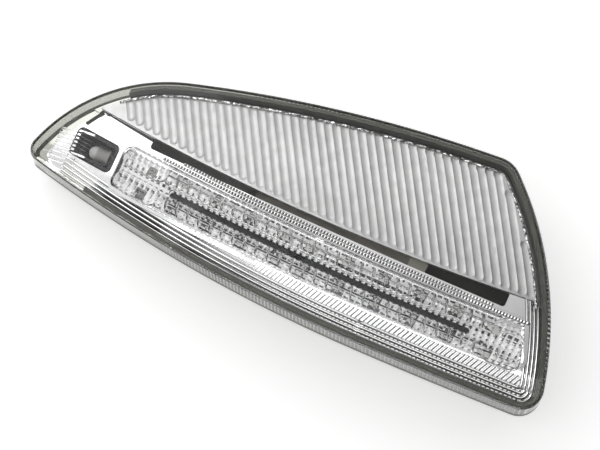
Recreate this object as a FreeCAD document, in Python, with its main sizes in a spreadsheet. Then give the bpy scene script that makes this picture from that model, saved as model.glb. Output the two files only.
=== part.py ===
import FreeCAD, Part
import math
import os
from types import SimpleNamespace

import Sketcher

# Mirror turn signal lamp, in millimetres.
# The lamp lies on its three fixing bosses with the clear lens up.
# +X runs along the length to the wide end, +Y across to the fluted panel, +Z out of the lens.
# The origin is the middle of the datum boss's face, so z = 0 is the plane of the boss faces.
# A "level" is a depth below the lens front, measured square to that curved front.
# An "inset" is a distance inward from the lamp's outline.

SIZES = (
    # Lens front, a barrel patch that falls away from its highest point
    ("front_height", 46, "height of the lens front's highest point"),
    ("apex_x", 30, "place of that point along the length"),
    ("apex_y", 14, "place of that point across the width"),
    ("length_radius", 400, "front radius along the length"),
    ("width_radius", 130, "front radius across the width"),
    # Outline of the lamp, eight tangent arcs
    ("tip_reach", 104.9, "tip of the narrow end from the datum"),
    ("tip_rise", 2.8, "height of the tip across the width"),
    ("shoulder_x", 61.7, "left point of the top edge"),
    ("shoulder_y", 40.4, "left point of the top edge"),
    ("shoulder_radius", 62.3, "rounding from the top edge to the tip"),
    ("top_x", 49.5, "right point of the top edge"),
    ("top_y", 58.6, "right point of the top edge"),
    ("top_radius", 767, "bow of the top edge"),
    ("side_high_x", 64.9, "upper point of the wide end"),
    ("side_high_y", 50.6, "upper point of the wide end"),
    ("wide_reach", 97.3, "lower point of the wide end from the datum"),
    ("side_low_y", 10.1, "lower point of the wide end, below the datum"),
    ("side_radius", 141, "bow of the wide end"),
    ("belly_x", 30, "lowest point of the bottom edge along the length"),
    ("belly_low", 24.2, "lowest point of the bottom edge, below the datum"),
    ("belly_tip_radius", 470, "bow of the bottom edge towards the tip"),
    ("belly_wide_radius", 950, "bow of the bottom edge towards the wide end"),
    ("tip_corner", 5, "corner radius at the tip"),
    ("low_corner", 8, "corner radius at the wide end, below"),
    ("high_corner", 9.5, "corner radius at the wide end, above"),
    ("blank_height", 60, "height of the upright blanks, above everything"),
    # Clear lens
    ("lens_wall", 2.4, "front wall of the lens"),
    ("skirt_wall", 1.4, "side wall of the lens"),
    ("skirt_depth", 9.5, "level of the lens foot"),
    ("lens_edge", 2, "rounding of the lens's front edge"),
    ("tip_rib_radius", 0.55, "optic ribs inside the lens tip"),
    ("tip_rib_pitch", 1.7, "spacing of those ribs"),
    ("tip_rib_count", 8, "number of those ribs"),
    ("tip_rib_start", 7.5, "outer end of those ribs, in from the tip"),
    ("tip_rib_length", 6.5, "length of those ribs"),
    # Weld bead between the lens foot and the housing flange
    ("bead_inset", 0.3, "outer side of the bead"),
    ("bead_width", 0.7, "width of the bead"),
    ("bead_height", 1.2, "height of the bead"),
    ("bead_gap", 0.2, "gap between the lens foot and the flange"),
    # Rear housing
    ("flange_wall", 2.6, "thickness of the flange"),
    ("collar_gap", 0.2, "gap on each side of the collar that rises inside the lens"),
    ("collar_tip_x", 80, "end of that collar towards the tip, on the minus side"),
    ("tub_inset", 4.6, "outside of the tub"),
    ("tub_wall", 2, "side wall and floor of the tub"),
    ("tub_level", 26, "level of the tub's outer floor"),
    ("tub_rise", 3, "least height of that floor, which runs flat at the tip"),
    ("boss_radius", 5, "outside of a fixing boss"),
    ("bore_radius", 1.7, "screw bore of a fixing boss"),
    ("bore_depth", 12, "depth of that bore"),
    ("boss_crown", 2.5, "material above that bore"),
    ("wide_boss_x", 62, "fixing boss at the wide end"),
    ("wide_boss_y", 33, "fixing boss at the wide end"),
    ("tip_boss_x", 66, "fixing boss towards the tip, on the minus side"),
    ("tip_boss_y", 16, "fixing boss towards the tip"),
    ("gusset_reach", 7, "reach of a boss's gussets from the boss axis"),
    ("gusset_wall", 1.6, "thickness of a gusset"),
    ("rib_wall", 1.6, "thickness of the ribs on the back"),
    ("rib_height", 2.6, "height of the ribs on the back"),
    ("rib_spacing", 24, "spacing of the cross ribs on the back"),
    # Panel with flutes
    ("panel_inset", 4.4, "edge of the fluted panel"),
    ("panel_level", 5, "level of the panel's face"),
    ("panel_wall", 1.7, "thickness of the panel"),
    ("panel_low", 11.05, "lowest point of the panel's lower border"),
    ("panel_bend", 547, "bow of that border"),
    ("panel_bend_x", 17, "place of its lowest point"),
    ("flute_pitch", 2.9, "spacing of the flutes"),
    ("flute_angle", 30, "lean of the flutes from the width direction"),
    ("flute_width", 3.2, "width of a flute, more than its spacing, so that neighbours meet in a ridge"),
    ("flute_depth", 0.45, "depth of a flute"),
    ("flute_margin", 2.2, "plain margin below the flutes"),
    ("flute_top_margin", 1.6, "plain margin above the flutes"),
    ("peg_radius", 1.2, "pegs that hold the panel on the bezel"),
    ("peg_length", 3.6, "length of those pegs below the panel"),
    ("peg_gap", 0.2, "running clearance round a peg"),
    ("seat_gap", 0.3, "gap where curved faces seat on each other"),
    # Bezel
    ("bezel_inset", 3.2, "outer side of the bezel"),
    ("bezel_level", 5.6, "level of the bezel's face"),
    ("bezel_wall", 1.5, "wall of the bezel"),
    ("step_width", 1.4, "width of one step of the bezel's edge"),
    ("step_drop", 0.75, "drop of one step"),
    ("step_count", 4, "number of steps"),
    ("seat_level", 7, "level of the panel's seat"),
    ("seat_wall", 1.8, "thickness of that seat"),
    ("seat_margin", 1.3, "reach of the panel's seat beyond the panel's edge"),
    ("slot_low", 8.1, "lower edge of the slot below the panel, along the bars' bow"),
    ("slot_low_tip", 6.3, "lower edge of the slot at its end towards the tip, along the bars' bow"),
    ("slot_low_wide", 7.6, "lower edge of the slot at the wide end, along the bars' bow"),
    ("slot_under", 0.4, "reach of the slot below the panel's edge"),
    ("slot_tip_x", 63, "slot end towards the tip, on the minus side"),
    ("slot_wide_x", 72.5, "slot end at the wide end"),
    ("slot_corner", 1.2, "corner radius of the slot"),
    ("trough_wall", 1.2, "wall round the bar optic"),
    ("trough_gap", 0.5, "gap round the bar optic"),
    ("trough_level", 12, "level of that wall's foot"),
    ("ledge_reach", 0.8, "reach of the ledge under the bar optic"),
    ("ledge_wall", 1, "thickness of that ledge"),
    ("notch_width", 2, "width of the window beside the panel's narrow end"),
    ("notch_length", 7.5, "length of that window"),
    ("notch_x", 89.6, "its lower corner, on the minus side"),
    ("notch_y", 13.6, "its lower corner"),
    ("notch_angle", 56, "its lean"),
    ("line_width", 0.45, "lines along the upper bar's frame"),
    ("line_depth", 0.4, "depth of those lines"),
    ("line_first", 6.1, "first line, along the bars' bow"),
    ("line_second", 7, "second line"),
    ("line_tip_x", 40, "first line's end towards the tip, on the minus side"),
    ("line_wide_x", 82, "first line's wide end"),
    ("line_short", 24, "the second line is shorter by this at each end"),
    # Twin bar optic
    ("bar_bend", 740, "bow of the bars, seen from the front"),
    ("bar_x", 35, "place of the bars' lowest point"),
    ("optic_high", 4, "upper edge of the bar optic"),
    ("optic_low", 12, "lower edge of the bar optic, below the datum"),
    ("optic_tip_x", 72.3, "end of the bar optic towards the tip"),
    ("optic_wide_x", 86.5, "end of the bar optic at the wide end"),
    ("optic_corner", 3.5, "corner radius of the bar optic"),
    ("optic_inset", 9.2, "least distance of the bar optic from the lamp's outline"),
    ("optic_level", 7, "level of the optic's web"),
    ("optic_wall", 1.4, "thickness of that web"),
    ("row_high", 0.4, "middle of the upper row of cells"),
    ("row_low", 8.5, "middle of the lower row of cells, below the datum"),
    ("row_half", 2.8, "half the width of a row"),
    ("row_level", 4.6, "level of the cells' tops"),
    ("row_side", 0.4, "slope of a row's sides"),
    ("row_shoulder", 0.9, "level of a row's shoulders below its top"),
    ("crown_half", 0.4, "half the width of the groove along a row"),
    ("crown_depth", 0.5, "depth of that groove"),
    ("cell_pitch", 4.6, "spacing of the cells"),
    ("cell_groove", 0.55, "half the width of the groove between cells"),
    ("cell_groove_depth", 1.7, "depth of that groove"),
    ("cell_slant", 15, "lean of that groove"),
    ("groove_spare", 0.1, "height of the groove cutters above the cells"),
    ("lobe_margin", 0.6, "round lobes at the tip end, beyond the rows"),
    ("lobe_core", 0.3, "half the middle of a lobe"),
    ("end_margin", 0.6, "end block, in from the optic's edge"),
    ("end_corner", 3, "corner radius of the end block"),
    ("end_core", 0.2, "end block, in from the optic's sides"),
    ("end_drop", 0.2, "end blocks below the cells' tops"),
    ("row_tip_x", 55, "start of the cells towards the tip"),
    ("row_wide_x", 73, "end of the cells at the wide end"),
    ("split_tip_x", 51, "gap between the rows, end towards the tip"),
    ("split_wide_x", 66, "gap between the rows, wide end"),
    ("split_half", 1.3, "half the width of that gap"),
    ("reflector_level", 10, "level of the bright tray under the bars"),
    ("reflector_wall", 1, "thickness of that tray"),
    ("window_gap", 0.5, "room round a diode in that tray"),
    ("ring_x", 80.6, "half-round rib in the end block"),
    ("ring_y", 3.2, "its middle, below the datum"),
    ("ring_radius", 5.6, "outside of that rib"),
    ("ring_wall", 1.1, "width of that rib"),
    ("ring_depth", 1.6, "depth of the hollow round that rib"),
    ("pocket_side", 2.2, "square hollow in each lobe"),
    # Tip compartment
    ("tray_tip_x", 92, "tip compartment, outer end"),
    ("tray_wide_x", 74.2, "tip compartment, inner end"),
    ("tray_high", 1.8, "upper edge of the tip compartment"),
    ("tray_low", 9, "lower edge of the tip compartment, below the datum"),
    ("tray_corner", 2, "corner radius of the tip compartment"),
    ("tray_gap", 0.4, "gap round the tip reflector"),
    ("tray_level", 12.4, "level of the tip reflector's floor"),
    ("tray_wall", 1.2, "wall of the tip reflector"),
    ("tray_rim", 0.4, "rim of the tip reflector below the bezel's face"),
    ("ramp_top", 1.2, "upper end of its ribbed ramp, below the bezel's face"),
    ("ramp_foot", 0.4, "lower end of that ramp, above the tray's floor"),
    ("ramp_share", 0.42, "radius of a rib, as a share of the ribs' spacing"),
    ("flute_tray_count", 7, "ribs of the tip reflector"),
    ("flute_tray_pitch", 1.45, "spacing of those ribs"),
    ("lamp_radius", 2.5, "round light-emitting diode at the tip"),
    ("lamp_length", 4.4, "its body without the dome"),
    ("lamp_flange", 2.9, "radius of its flange"),
    ("flange_length", 1, "length of its flange"),
    ("holder_side", 0.6, "wall of its cradle"),
    ("holder_gap", 0.05, "clearance in that cradle"),
    ("holder_end", 0.1, "cradle in from the body's end"),
    ("lamp_x", 82.4, "place of the dome's middle, on the minus side"),
    ("lamp_y", 5.4, "place of its axis"),
    ("lamp_level", 8, "level of its axis"),
    ("lead_radius", 0.28, "its two leads"),
    ("lead_spacing", 2.54, "spacing of its leads"),
    # Boards and their parts
    ("board_wall", 1.6, "thickness of the boards"),
    ("board_level", 13.2, "level of the diode boards' faces"),
    ("board_width", 16, "width of the diode boards"),
    ("board_split", 2, "gap between the two diode boards"),
    ("board_tip_x", 64, "diode boards, end towards the tip"),
    ("board_wide_x", 76, "diode boards, wide end"),
    ("chip_length", 3.5, "one bar diode"),
    ("chip_width", 2.8, "one bar diode"),
    ("chip_height", 1.4, "one bar diode"),
    ("chip_window", 1.1, "radius of a diode's light window"),
    ("chip_window_depth", 0.2, "depth of that window"),
    ("chip_every", 3, "cells from one bar diode to the next"),
    ("post_radius", 2.6, "posts under the boards"),
    ("screw_radius", 1.1, "shank of the board screws"),
    ("screw_head", 2.1, "head radius of the board screws"),
    ("screw_head_height", 1.3, "head height of the board screws"),
    ("screw_length", 6, "shank length of the board screws"),
    ("cross_width", 0.5, "width of the cross in the heads"),
    ("cross_depth", 0.6, "depth of that cross"),
    ("cross_share", 0.7, "reach of that cross, as a share of the head"),
    ("driver_length", 56, "driver board"),
    ("driver_width", 20, "driver board"),
    ("driver_x", 22, "driver board"),
    ("driver_y", 33, "driver board"),
    ("driver_level", 16.5, "level of the driver board's face"),
    ("case_length", 10, "driver chip"),
    ("case_width", 6, "driver chip"),
    ("case_height", 1.8, "driver chip"),
    ("case_lift", 0.15, "room below its case"),
    ("case_x", 13, "its place, on the minus side of the board"),
    ("leg_width", 0.5, "its legs"),
    ("leg_span", 8.8, "its legs, tip to tip"),
    ("leg_height", 0.4, "its legs"),
    ("leg_pitch", 1.27, "spacing of its legs"),
    ("leg_count", 7, "legs on a side"),
    ("resistor_length", 3.2, "one resistor"),
    ("resistor_width", 1.6, "one resistor"),
    ("resistor_height", 0.6, "one resistor"),
    ("resistor_x", 3, "first resistor, on the minus side of the board"),
    ("resistor_y", 8.5, "first resistor, on the minus side of the board"),
    ("resistor_pitch", 4.6, "spacing of the resistors"),
    ("resistor_row", 3, "spacing of their rows"),
    ("can_radius", 3.1, "capacitor"),
    ("can_height", 5.2, "capacitor"),
    ("can_x", 2, "middle of the two capacitors"),
    ("can_y", 5, "middle of the two capacitors"),
    ("can_pitch", 8, "spacing of the capacitors"),
    ("link_radius", 0.35, "wire link between the diode boards"),
    ("link_lift", 0.62, "height of a link's axis over the boards"),
    ("link_spacing", 1.2, "links from the boards' middle line"),
    ("link_foot", 1.5, "reach of a link over each board"),
    # Connector
    ("socket_length", 15, "socket opening"),
    ("socket_width", 8, "socket opening"),
    ("socket_wall", 1.5, "wall of the socket"),
    ("socket_x", 34, "middle of the socket"),
    ("socket_y", 33, "middle of the socket"),
    ("socket_mouth", 3, "height of the socket's mouth"),
    ("pin_side", 0.8, "side of a connector pin"),
    ("pin_pitch", 3, "spacing of the pins"),
    ("pin_count", 4, "number of pins"),
    ("pin_reach", 7, "reach of the pins into the socket"),
    # Vent
    ("vent_x", 34, "vent, on the minus side"),
    ("vent_y", 26, "vent"),
    ("vent_bore", 2, "radius of the vent hole"),
    ("vent_radius", 5, "outside of the vent collar"),
    ("vent_height", 2.2, "height of the vent collar"),
    ("membrane_wall", 0.4, "thickness of the membrane"),
    ("membrane_rim", 1.6, "membrane beyond the hole"),
    ("cap_room", 0.8, "room below the membrane"),
    ("cap_skirt", 1.4, "reach of the cap's skirt over the collar"),
    ("cap_shelf", 2, "ledge inside the cap"),
    ("cap_slot", 1.4, "width of the cap's air slots"),
    ("cap_slot_height", 0.7, "height of those slots"),
    ("cap_wall", 1.2, "wall of the vent cap"),
    ("rib_vent_gap", 1, "gap between the back's ribs and the vent cap"),
    ("gusset_foot", 1.5, "height where a gusset starts"),
    ("rib_span", 130, "length of the rib blanks before trimming"),
    ("spine_y", 12, "place of the long rib on the back"),
    ("screw_margin", 4, "screws from a board's edge"),
    ("screw_spare", 1, "room below a screw's point"),
    ("screw_fit", 0.05, "clearance of a screw in its post"),
    ("screw_clear", 0.15, "clearance of a screw in a drilled piece"),
    ("screw_sink", 1.9, "depth of the bezel screws' heads below the seat"),
    ("lug_radius", 3.6, "screw lugs under the bezel's seat"),
    ("lug_wall", 2.2, "lug below the screw head"),
    ("bezel_screw_tip_x", 48, "bezel screw towards the tip, on the minus side"),
    ("bezel_screw_tip_y", 25, "bezel screw towards the tip"),
    ("bezel_screw_wide_x", 60, "bezel screw at the wide end"),
    ("bezel_screw_wide_y", 27, "bezel screw at the wide end"),
    ("bezel_screw_mid_x", 16, "third bezel screw, on the minus side"),
    ("bezel_screw_mid_y", 31, "third bezel screw"),
    ("tip_board_x", 82.5, "tip board, on the minus side"),
    ("tip_board_length", 13, "tip board"),
    ("tip_board_width", 8, "tip board"),
    ("tip_board_level", 17.5, "level of the tip board's face"),
    ("ramp_length", 6.3, "ribbed ramp of the tip reflector"),
    ("lead_bend", 0.7, "straight start of the leads"),
    ("flex_tip_x", 22, "ribbon end towards the tip, on the minus side"),
    ("flex_wide_x", 37, "ribbon end at its plug"),
    ("flex_low", 7.3, "lower edge of the ribbon, along the bars' bow"),
    ("flex_high", 12.6, "upper edge of the ribbon, along the bars' bow"),
    ("plug_length", 6.5, "plug of the ribbon"),
    ("plug_height", 3, "plug of the ribbon"),
    ("flex_wall", 0.4, "thickness of the ribbon"),
)

doc = FreeCAD.newDocument("TurnSignalLamp")
sheet = doc.addObject("Spreadsheet::Sheet", "Sizes")
for row, (alias, value, meaning) in enumerate(SIZES, start=1):
    sheet.set("A%d" % row, alias)
    sheet.set("B%d" % row, str(value))
    sheet.setAlias("B%d" % row, alias)
    sheet.set("C%d" % row, meaning)
doc.recompute()
s = SimpleNamespace(**{alias: float(sheet.get(alias)) for alias, value, meaning in SIZES})

UP = FreeCAD.Vector(0, 0, 1)


def vec(x, y, z=0.0):
    return FreeCAD.Vector(x, y, z)


# Curved front


def front_point(x, y, level):
    """The point of the front's offset surface over a place in the plan."""
    tube = math.sqrt((s.width_radius - level) ** 2 - (y - s.apex_y) ** 2)
    ring = s.length_radius - s.width_radius + tube
    return vec(x, y, s.front_height - s.length_radius + math.sqrt(ring ** 2 - (x - s.apex_x) ** 2))


def front_normal(x, y, level):
    """The outward direction of that surface there."""
    point = front_point(x, y, level)
    centre = vec(s.apex_x, s.apex_y, s.front_height - s.length_radius)
    ring = vec(point.x - centre.x, 0, point.z - centre.z).normalize()
    tube_centre = centre + ring * (s.length_radius - s.width_radius)
    return (point - tube_centre).normalize()


def front_z(x, y, level):
    """The height of that surface over a place in the plan, all given and returned as expressions."""
    tube = "sqrt((Sizes.width_radius - (%s))^2 - ((%s) - Sizes.apex_y)^2)" % (level, y)
    ring = "(Sizes.length_radius - Sizes.width_radius + %s)" % tube
    return "Sizes.front_height - Sizes.length_radius + sqrt(%s^2 - ((%s) - Sizes.apex_x)^2)" % (ring, x)


def bind(item, **expressions):
    for name, expression in expressions.items():
        item.setExpression(name, expression)
    return item


def place(item, x="0", y="0", z="0"):
    item.setExpression("Placement.Base.x", x)
    item.setExpression("Placement.Base.y", y)
    item.setExpression("Placement.Base.z", z)
    return item


barrels = {}


def barrel(level):
    """Everything below the front's offset surface at a level, given as an expression."""
    if level not in barrels:
        item = doc.addObject("Part::Torus", "Barrel%d" % len(barrels))
        item.Placement = FreeCAD.Placement(vec(0, 0), FreeCAD.Rotation(vec(1, 0), 90))
        bind(item, Radius1="Sizes.length_radius - Sizes.width_radius",
             Radius2="Sizes.width_radius - (%s)" % level)
        place(item, "Sizes.apex_x", "Sizes.apex_y", "Sizes.front_height - Sizes.length_radius")
        barrels[level] = item
    return barrels[level]


def fuse(name, *items):
    item = doc.addObject("Part::MultiFuse", name)
    item.Shapes = items
    return item


def common(name, first, second):
    item = doc.addObject("Part::Common", name)
    item.Base = first
    item.Tool = second
    return item


def cut(name, base, tool):
    item = doc.addObject("Part::Cut", name)
    item.Base = base
    item.Tool = tool
    return item


def layer(name, blank, top, bottom):
    """The part of an upright blank between two levels, given as expressions."""
    return cut(name, common(name + "Blank", blank, barrel(top)), barrel(bottom))


def feature(name, shape):
    item = doc.addObject("Part::Feature", name)
    item.Shape = shape
    return item


# Outlines in the plan


def circles_meet(centre_a, radius_a, centre_b, radius_b, near):
    """The point where two circles cross that lies nearer to a given place."""
    gap = centre_b - centre_a
    along = (radius_a ** 2 - radius_b ** 2 + gap.Length ** 2) / (2 * gap.Length)
    across = math.sqrt(radius_a ** 2 - along ** 2)
    unit = vec(gap.x, gap.y).normalize()
    normal = vec(-unit.y, unit.x)
    found = [centre_a + unit * along + normal * across, centre_a + unit * along - normal * across]
    return min(found, key=lambda point: (point - near).Length)


def arc_centre(start, end, radius, inside):
    """The centre of an arc through two points that bows away from the inside."""
    return circles_meet(start, radius, end, radius, inside)


def corner(first, second, radius, near):
    """A circle inside two larger circles that touches both."""
    centre = circles_meet(first[0], first[1] - radius, second[0], second[1] - radius, near)
    return centre, radius


def touch_point(first, second):
    """The point where a circle touches a larger one from inside."""
    large, small = (first, second) if first[1] > second[1] else (second, first)
    return large[0] + (small[0] - large[0]).normalize() * large[1]


def lamp_outline():
    """The lamp's outline as a closed chain of tangent arcs."""
    inside = vec(0, s.apex_y)
    tip = vec(-s.tip_reach, s.tip_rise)
    top_start = vec(-s.shoulder_x, s.shoulder_y)
    top_end = vec(s.top_x, s.top_y)
    side_high = vec(s.side_high_x, s.side_high_y)
    side_low = vec(s.wide_reach, -s.side_low_y)
    top = (arc_centre(top_start, top_end, s.top_radius, inside), s.top_radius)
    side = (arc_centre(side_low, side_high, s.side_radius, inside), s.side_radius)
    shoulder_centre = circles_meet(top[0], s.top_radius - s.shoulder_radius, tip, s.shoulder_radius, inside)
    shoulder = (shoulder_centre, s.shoulder_radius)
    belly_tip = (vec(s.belly_x, s.belly_tip_radius - s.belly_low), s.belly_tip_radius)
    belly_wide = (vec(s.belly_x, s.belly_wide_radius - s.belly_low), s.belly_wide_radius)
    tip_round = corner(belly_tip, shoulder, s.tip_corner, tip)
    low_round = corner(belly_wide, side, s.low_corner, side_low)
    high_round = corner(top, side, s.high_corner, side_high)
    chain = [top, shoulder, tip_round, belly_tip, belly_wide, low_round, side, high_round]
    joints = [touch_point(chain[index - 1], chain[index]) for index in range(len(chain))]
    arcs = []
    for index, (centre, radius) in enumerate(chain):
        start = joints[index]
        end = joints[(index + 1) % len(chain)]
        middle = centre + ((start + end) * 0.5 - centre).normalize() * radius
        arcs.append(Part.Arc(start, middle, end).toShape())
    return Part.Wire(arcs)


def bar_point(x, across):
    """A point of the bow that the bars follow, at a distance across from its middle."""
    radius = s.bar_bend - across
    return vec(x, s.bar_bend - math.sqrt(radius ** 2 - (x - s.bar_x) ** 2))


def bar_band(left, right, low, high):
    """A band along the bars' bow between two ends."""
    corners = [bar_point(left, low), bar_point(right, low), bar_point(right, high), bar_point(left, high)]
    middle = (left + right) / 2
    return Part.Wire([
        Part.Arc(corners[0], bar_point(middle, low), corners[1]).toShape(),
        Part.makeLine(corners[1], corners[2]),
        Part.Arc(corners[2], bar_point(middle, high), corners[3]).toShape(),
        Part.makeLine(corners[3], corners[0]),
    ])


prisms = {}


def prism(outline, offset):
    """An upright blank over an outline moved outward by an offset, given as an expression."""
    key = (outline.Name, offset)
    if key not in prisms:
        source = outline
        if offset != "0":
            source = doc.addObject("Part::Offset2D", "%sOffset%d" % (outline.Name, len(prisms)))
            source.Source = outline
            source.Mode = "Pipe"
            source.Join = "Arc"
            bind(source, Value=offset)
        item = doc.addObject("Part::Extrusion", "%sBlank%d" % (outline.Name, len(prisms)))
        item.Base = source
        item.DirMode = "Custom"
        item.Dir = UP
        item.Solid = True
        bind(item, LengthFwd="Sizes.blank_height")
        prisms[key] = item
    return prisms[key]


outline = feature("LampOutline", lamp_outline())


def outline_blank(inset):
    return prism(outline, "0" if inset == "0" else "-(%s)" % inset)


def upright_cylinder(name, x, y, radius, height="Sizes.blank_height", foot="0"):
    item = doc.addObject("Part::Cylinder", name)
    bind(item, Radius=radius, Height=height)
    return place(item, x, y, foot)


def box(name, length, width, height, x="0", y="0", z="0"):
    item = doc.addObject("Part::Box", name)
    bind(item, Length=length, Width=width, Height=height)
    return place(item, x, y, z)


def centred_box(name, length, width, height, z="0"):
    return box(name, length, width, height, "-(%s) / 2" % length, "-(%s) / 2" % width, z)


UPRIGHT = FreeCAD.Placement(vec(0, 0), FreeCAD.Rotation(vec(1, 0), 90))


def profile(body, name, corners, plane):
    """A closed sketch in a body, each corner held by two expressions."""
    sketch = body.newObject("Sketcher::SketchObject", name)
    sketch.Placement = plane
    count = len(corners)
    rough = [vec(index, index * index) for index in range(count)]
    for index in range(count):
        sketch.addGeometry(Part.LineSegment(rough[index], rough[(index + 1) % count]), False)
    for index in range(count):
        sketch.addConstraint(Sketcher.Constraint("Coincident", index, 2, (index + 1) % count, 1))
    for index, (across, up) in enumerate(corners):
        for kind, value in (("DistanceX", across), ("DistanceY", up)):
            number = sketch.addConstraint(Sketcher.Constraint(kind, -1, 1, index, 1, 1.0))
            sketch.setExpression("Constraints[%d]" % number, value)
    return sketch


def turned(body, name, corners):
    """A turned form about the body's upright axis."""
    sketch = profile(body, name + "Profile", corners, UPRIGHT)
    item = body.newObject("PartDesign::Revolution", name)
    item.Profile = sketch
    item.ReferenceAxis = (sketch, ["V_Axis"])
    item.Angle = 360
    return item


NODES = []


def node(item, label):
    item.Label = label
    NODES.append(item)
    return item


def group(name, item, placements, label):
    """Copies of one piece at the given placements, each a solid of its own."""
    links = []
    for index, placement in enumerate(placements):
        link = doc.addObject("App::Link", "%sAt%d" % (name, index))
        link.LinkedObject = item
        link.LinkTransform = True
        link.Placement = placement
        links.append(link)
    copies = doc.addObject("Part::Compound", name)
    copies.Links = links
    return node(copies, label)


# Clear outer lens: front wall, side wall and the optic ribs inside its tip


def make_outer_lens():
    body = common("LensBody", outline_blank("0"), barrel("0"))
    doc.recompute()
    rounded = doc.addObject("Part::Fillet", "LensRounded")
    rounded.Base = body
    front_edges = []
    for index, edge in enumerate(body.Shape.Edges, start=1):
        box = edge.BoundBox
        upright = box.XLength < 0.01 and box.YLength < 0.01
        if box.ZMin > 1 and not upright:
            front_edges.append((index, s.lens_edge, s.lens_edge))
    rounded.Edges = front_edges
    hollow = common("LensHollow", outline_blank("Sizes.skirt_wall"), barrel("Sizes.lens_wall"))
    shell = cut("LensShell", cut("LensCup", rounded, hollow), barrel("Sizes.skirt_depth"))
    ribs = []
    middle = (s.tip_rib_count - 1) / 2
    for index in range(int(s.tip_rib_count)):
        y = s.tip_rise + (index - middle) * s.tip_rib_pitch
        outer = front_point(-s.tip_reach + s.tip_rib_start, y, s.lens_wall)
        inner = front_point(-s.tip_reach + s.tip_rib_start + s.tip_rib_length, y, s.lens_wall)
        ribs.append(Part.makeCylinder(s.tip_rib_radius, (inner - outer).Length, outer, inner - outer))
    rib_group = feature("LensTipRibs", Part.makeCompound(ribs))
    return node(fuse("OuterLens", shell, rib_group), "outer_lens")


# Weld bead between the lens foot and the housing flange


def make_lens_bead():
    ring = cut("BeadRing", outline_blank("Sizes.bead_inset"),
               outline_blank("Sizes.bead_inset + Sizes.bead_width"))
    bead = layer("LensBead", ring, "Sizes.skirt_depth", "Sizes.skirt_depth + Sizes.bead_height")
    return node(bead, "lens_bead")


FLANGE = "Sizes.skirt_depth + Sizes.bead_gap"


BOSSES = (
    ("0", "0"),
    ("Sizes.wide_boss_x", "Sizes.wide_boss_y"),
    ("-Sizes.tip_boss_x", "Sizes.tip_boss_y"),
)
BOSS_POINTS = (vec(0, 0), vec(s.wide_boss_x, s.wide_boss_y), vec(-s.tip_boss_x, s.tip_boss_y))


def gusset_blanks():
    """Three tapered plates round each fixing boss."""
    plates = []
    for centre in BOSS_POINTS:
        floor_z = front_point(centre.x, centre.y, s.tub_level).z
        for angle in (30, 150, 270):
            corners = [vec(0, 0, s.gusset_foot), vec(s.boss_radius, 0, s.gusset_foot),
                       vec(s.gusset_reach, 0, floor_z), vec(s.gusset_reach, 0, s.blank_height),
                       vec(0, 0, s.blank_height)]
            face = Part.Face(Part.makePolygon(corners + corners[:1]))
            plate = face.extrude(vec(0, s.gusset_wall))
            plate.translate(vec(0, -s.gusset_wall / 2))
            plate.rotate(vec(0, 0), UP, angle)
            plate.translate(centre)
            plates.append(plate)
    return plates[0].fuse(plates[1:])


def rib_blanks():
    """Cross ribs and one long rib, before they are trimmed to the housing's back."""
    blanks = []
    count = int((s.tip_reach + s.wide_reach) / s.rib_spacing)
    for index in range(count):
        x = -s.tip_reach + (index + 1) * s.rib_spacing
        blanks.append(Part.makeBox(s.rib_wall, s.rib_span, s.blank_height,
                                   vec(x - s.rib_wall / 2, s.apex_y - s.rib_span / 2)))
    spine = bar_band(-s.tip_reach, s.wide_reach, s.spine_y - s.rib_wall / 2, s.spine_y + s.rib_wall / 2)
    ribs = Part.Face(spine).extrude(UP * s.blank_height).fuse(blanks)
    room = s.vent_radius + s.cap_wall + s.rib_vent_gap
    return ribs.cut(Part.makeCylinder(room, s.blank_height, vec(-s.vent_x, s.vent_y)))


# Places of the boards and of what stands on them


def bar_frame(left, right):
    """A flat frame laid along the bars between two places: middle, length and placement."""
    across = (s.row_high - s.row_low) / 2
    ends = [bar_point(left, across), bar_point(right, across)]
    first, last = [front_point(end.x, end.y, s.board_level) for end in ends]
    along = (last - first).normalize()
    middle = (first + last) * 0.5
    outward = front_normal(middle.x, middle.y, s.board_level)
    side = outward.cross(along).normalize()
    outward = along.cross(side)
    turn = FreeCAD.Rotation(along, side, outward, "ZXY")
    return SimpleNamespace(length=(last - first).Length, placement=FreeCAD.Placement(middle, turn))


TIP_FRAME = bar_frame(-s.board_tip_x, -s.board_split / 2)
WIDE_FRAME = bar_frame(s.board_split / 2, s.board_wide_x)
DRIVER_Z = front_point(s.driver_x, s.driver_y, s.driver_level).z
DRIVER_PLACE = FreeCAD.Placement(vec(s.driver_x, s.driver_y, DRIVER_Z), FreeCAD.Rotation())
TIP_BOARD_Z = front_point(-s.tip_board_x, s.lamp_y, s.tip_board_level).z
TIP_BOARD_PLACE = FreeCAD.Placement(vec(-s.tip_board_x, s.lamp_y, TIP_BOARD_Z), FreeCAD.Rotation())


def board_screw_seats():
    """Placement of each board screw: its origin lies on the board's face."""
    seats = []
    for frame in (TIP_FRAME, WIDE_FRAME):
        for end in (-1, 1):
            u = end * (frame.length / 2 - s.screw_margin)
            seats.append(frame.placement * FreeCAD.Placement(vec(u, 0), FreeCAD.Rotation()))
    for u in (-1, 1):
        corner_u = u * (s.driver_length / 2 - s.screw_margin)
        corner_v = u * (s.driver_width / 2 - s.screw_margin)
        seats.append(DRIVER_PLACE * FreeCAD.Placement(vec(corner_u, corner_v), FreeCAD.Rotation()))
    seats.append(TIP_BOARD_PLACE)
    return seats


def bezel_screw_seats():
    """Placement of each bezel screw: its origin lies where the head sits."""
    seats = []
    for x, y in ((-s.bezel_screw_tip_x, s.bezel_screw_tip_y), (s.bezel_screw_wide_x, s.bezel_screw_wide_y),
                 (-s.bezel_screw_mid_x, s.bezel_screw_mid_y)):
        z = front_point(x, y, s.seat_level).z - s.screw_sink
        seats.append(FreeCAD.Placement(vec(x, y, z), FreeCAD.Rotation()))
    return seats


def placed(shape, placement):
    moved = shape.copy()
    moved.Placement = placement
    return moved


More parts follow.
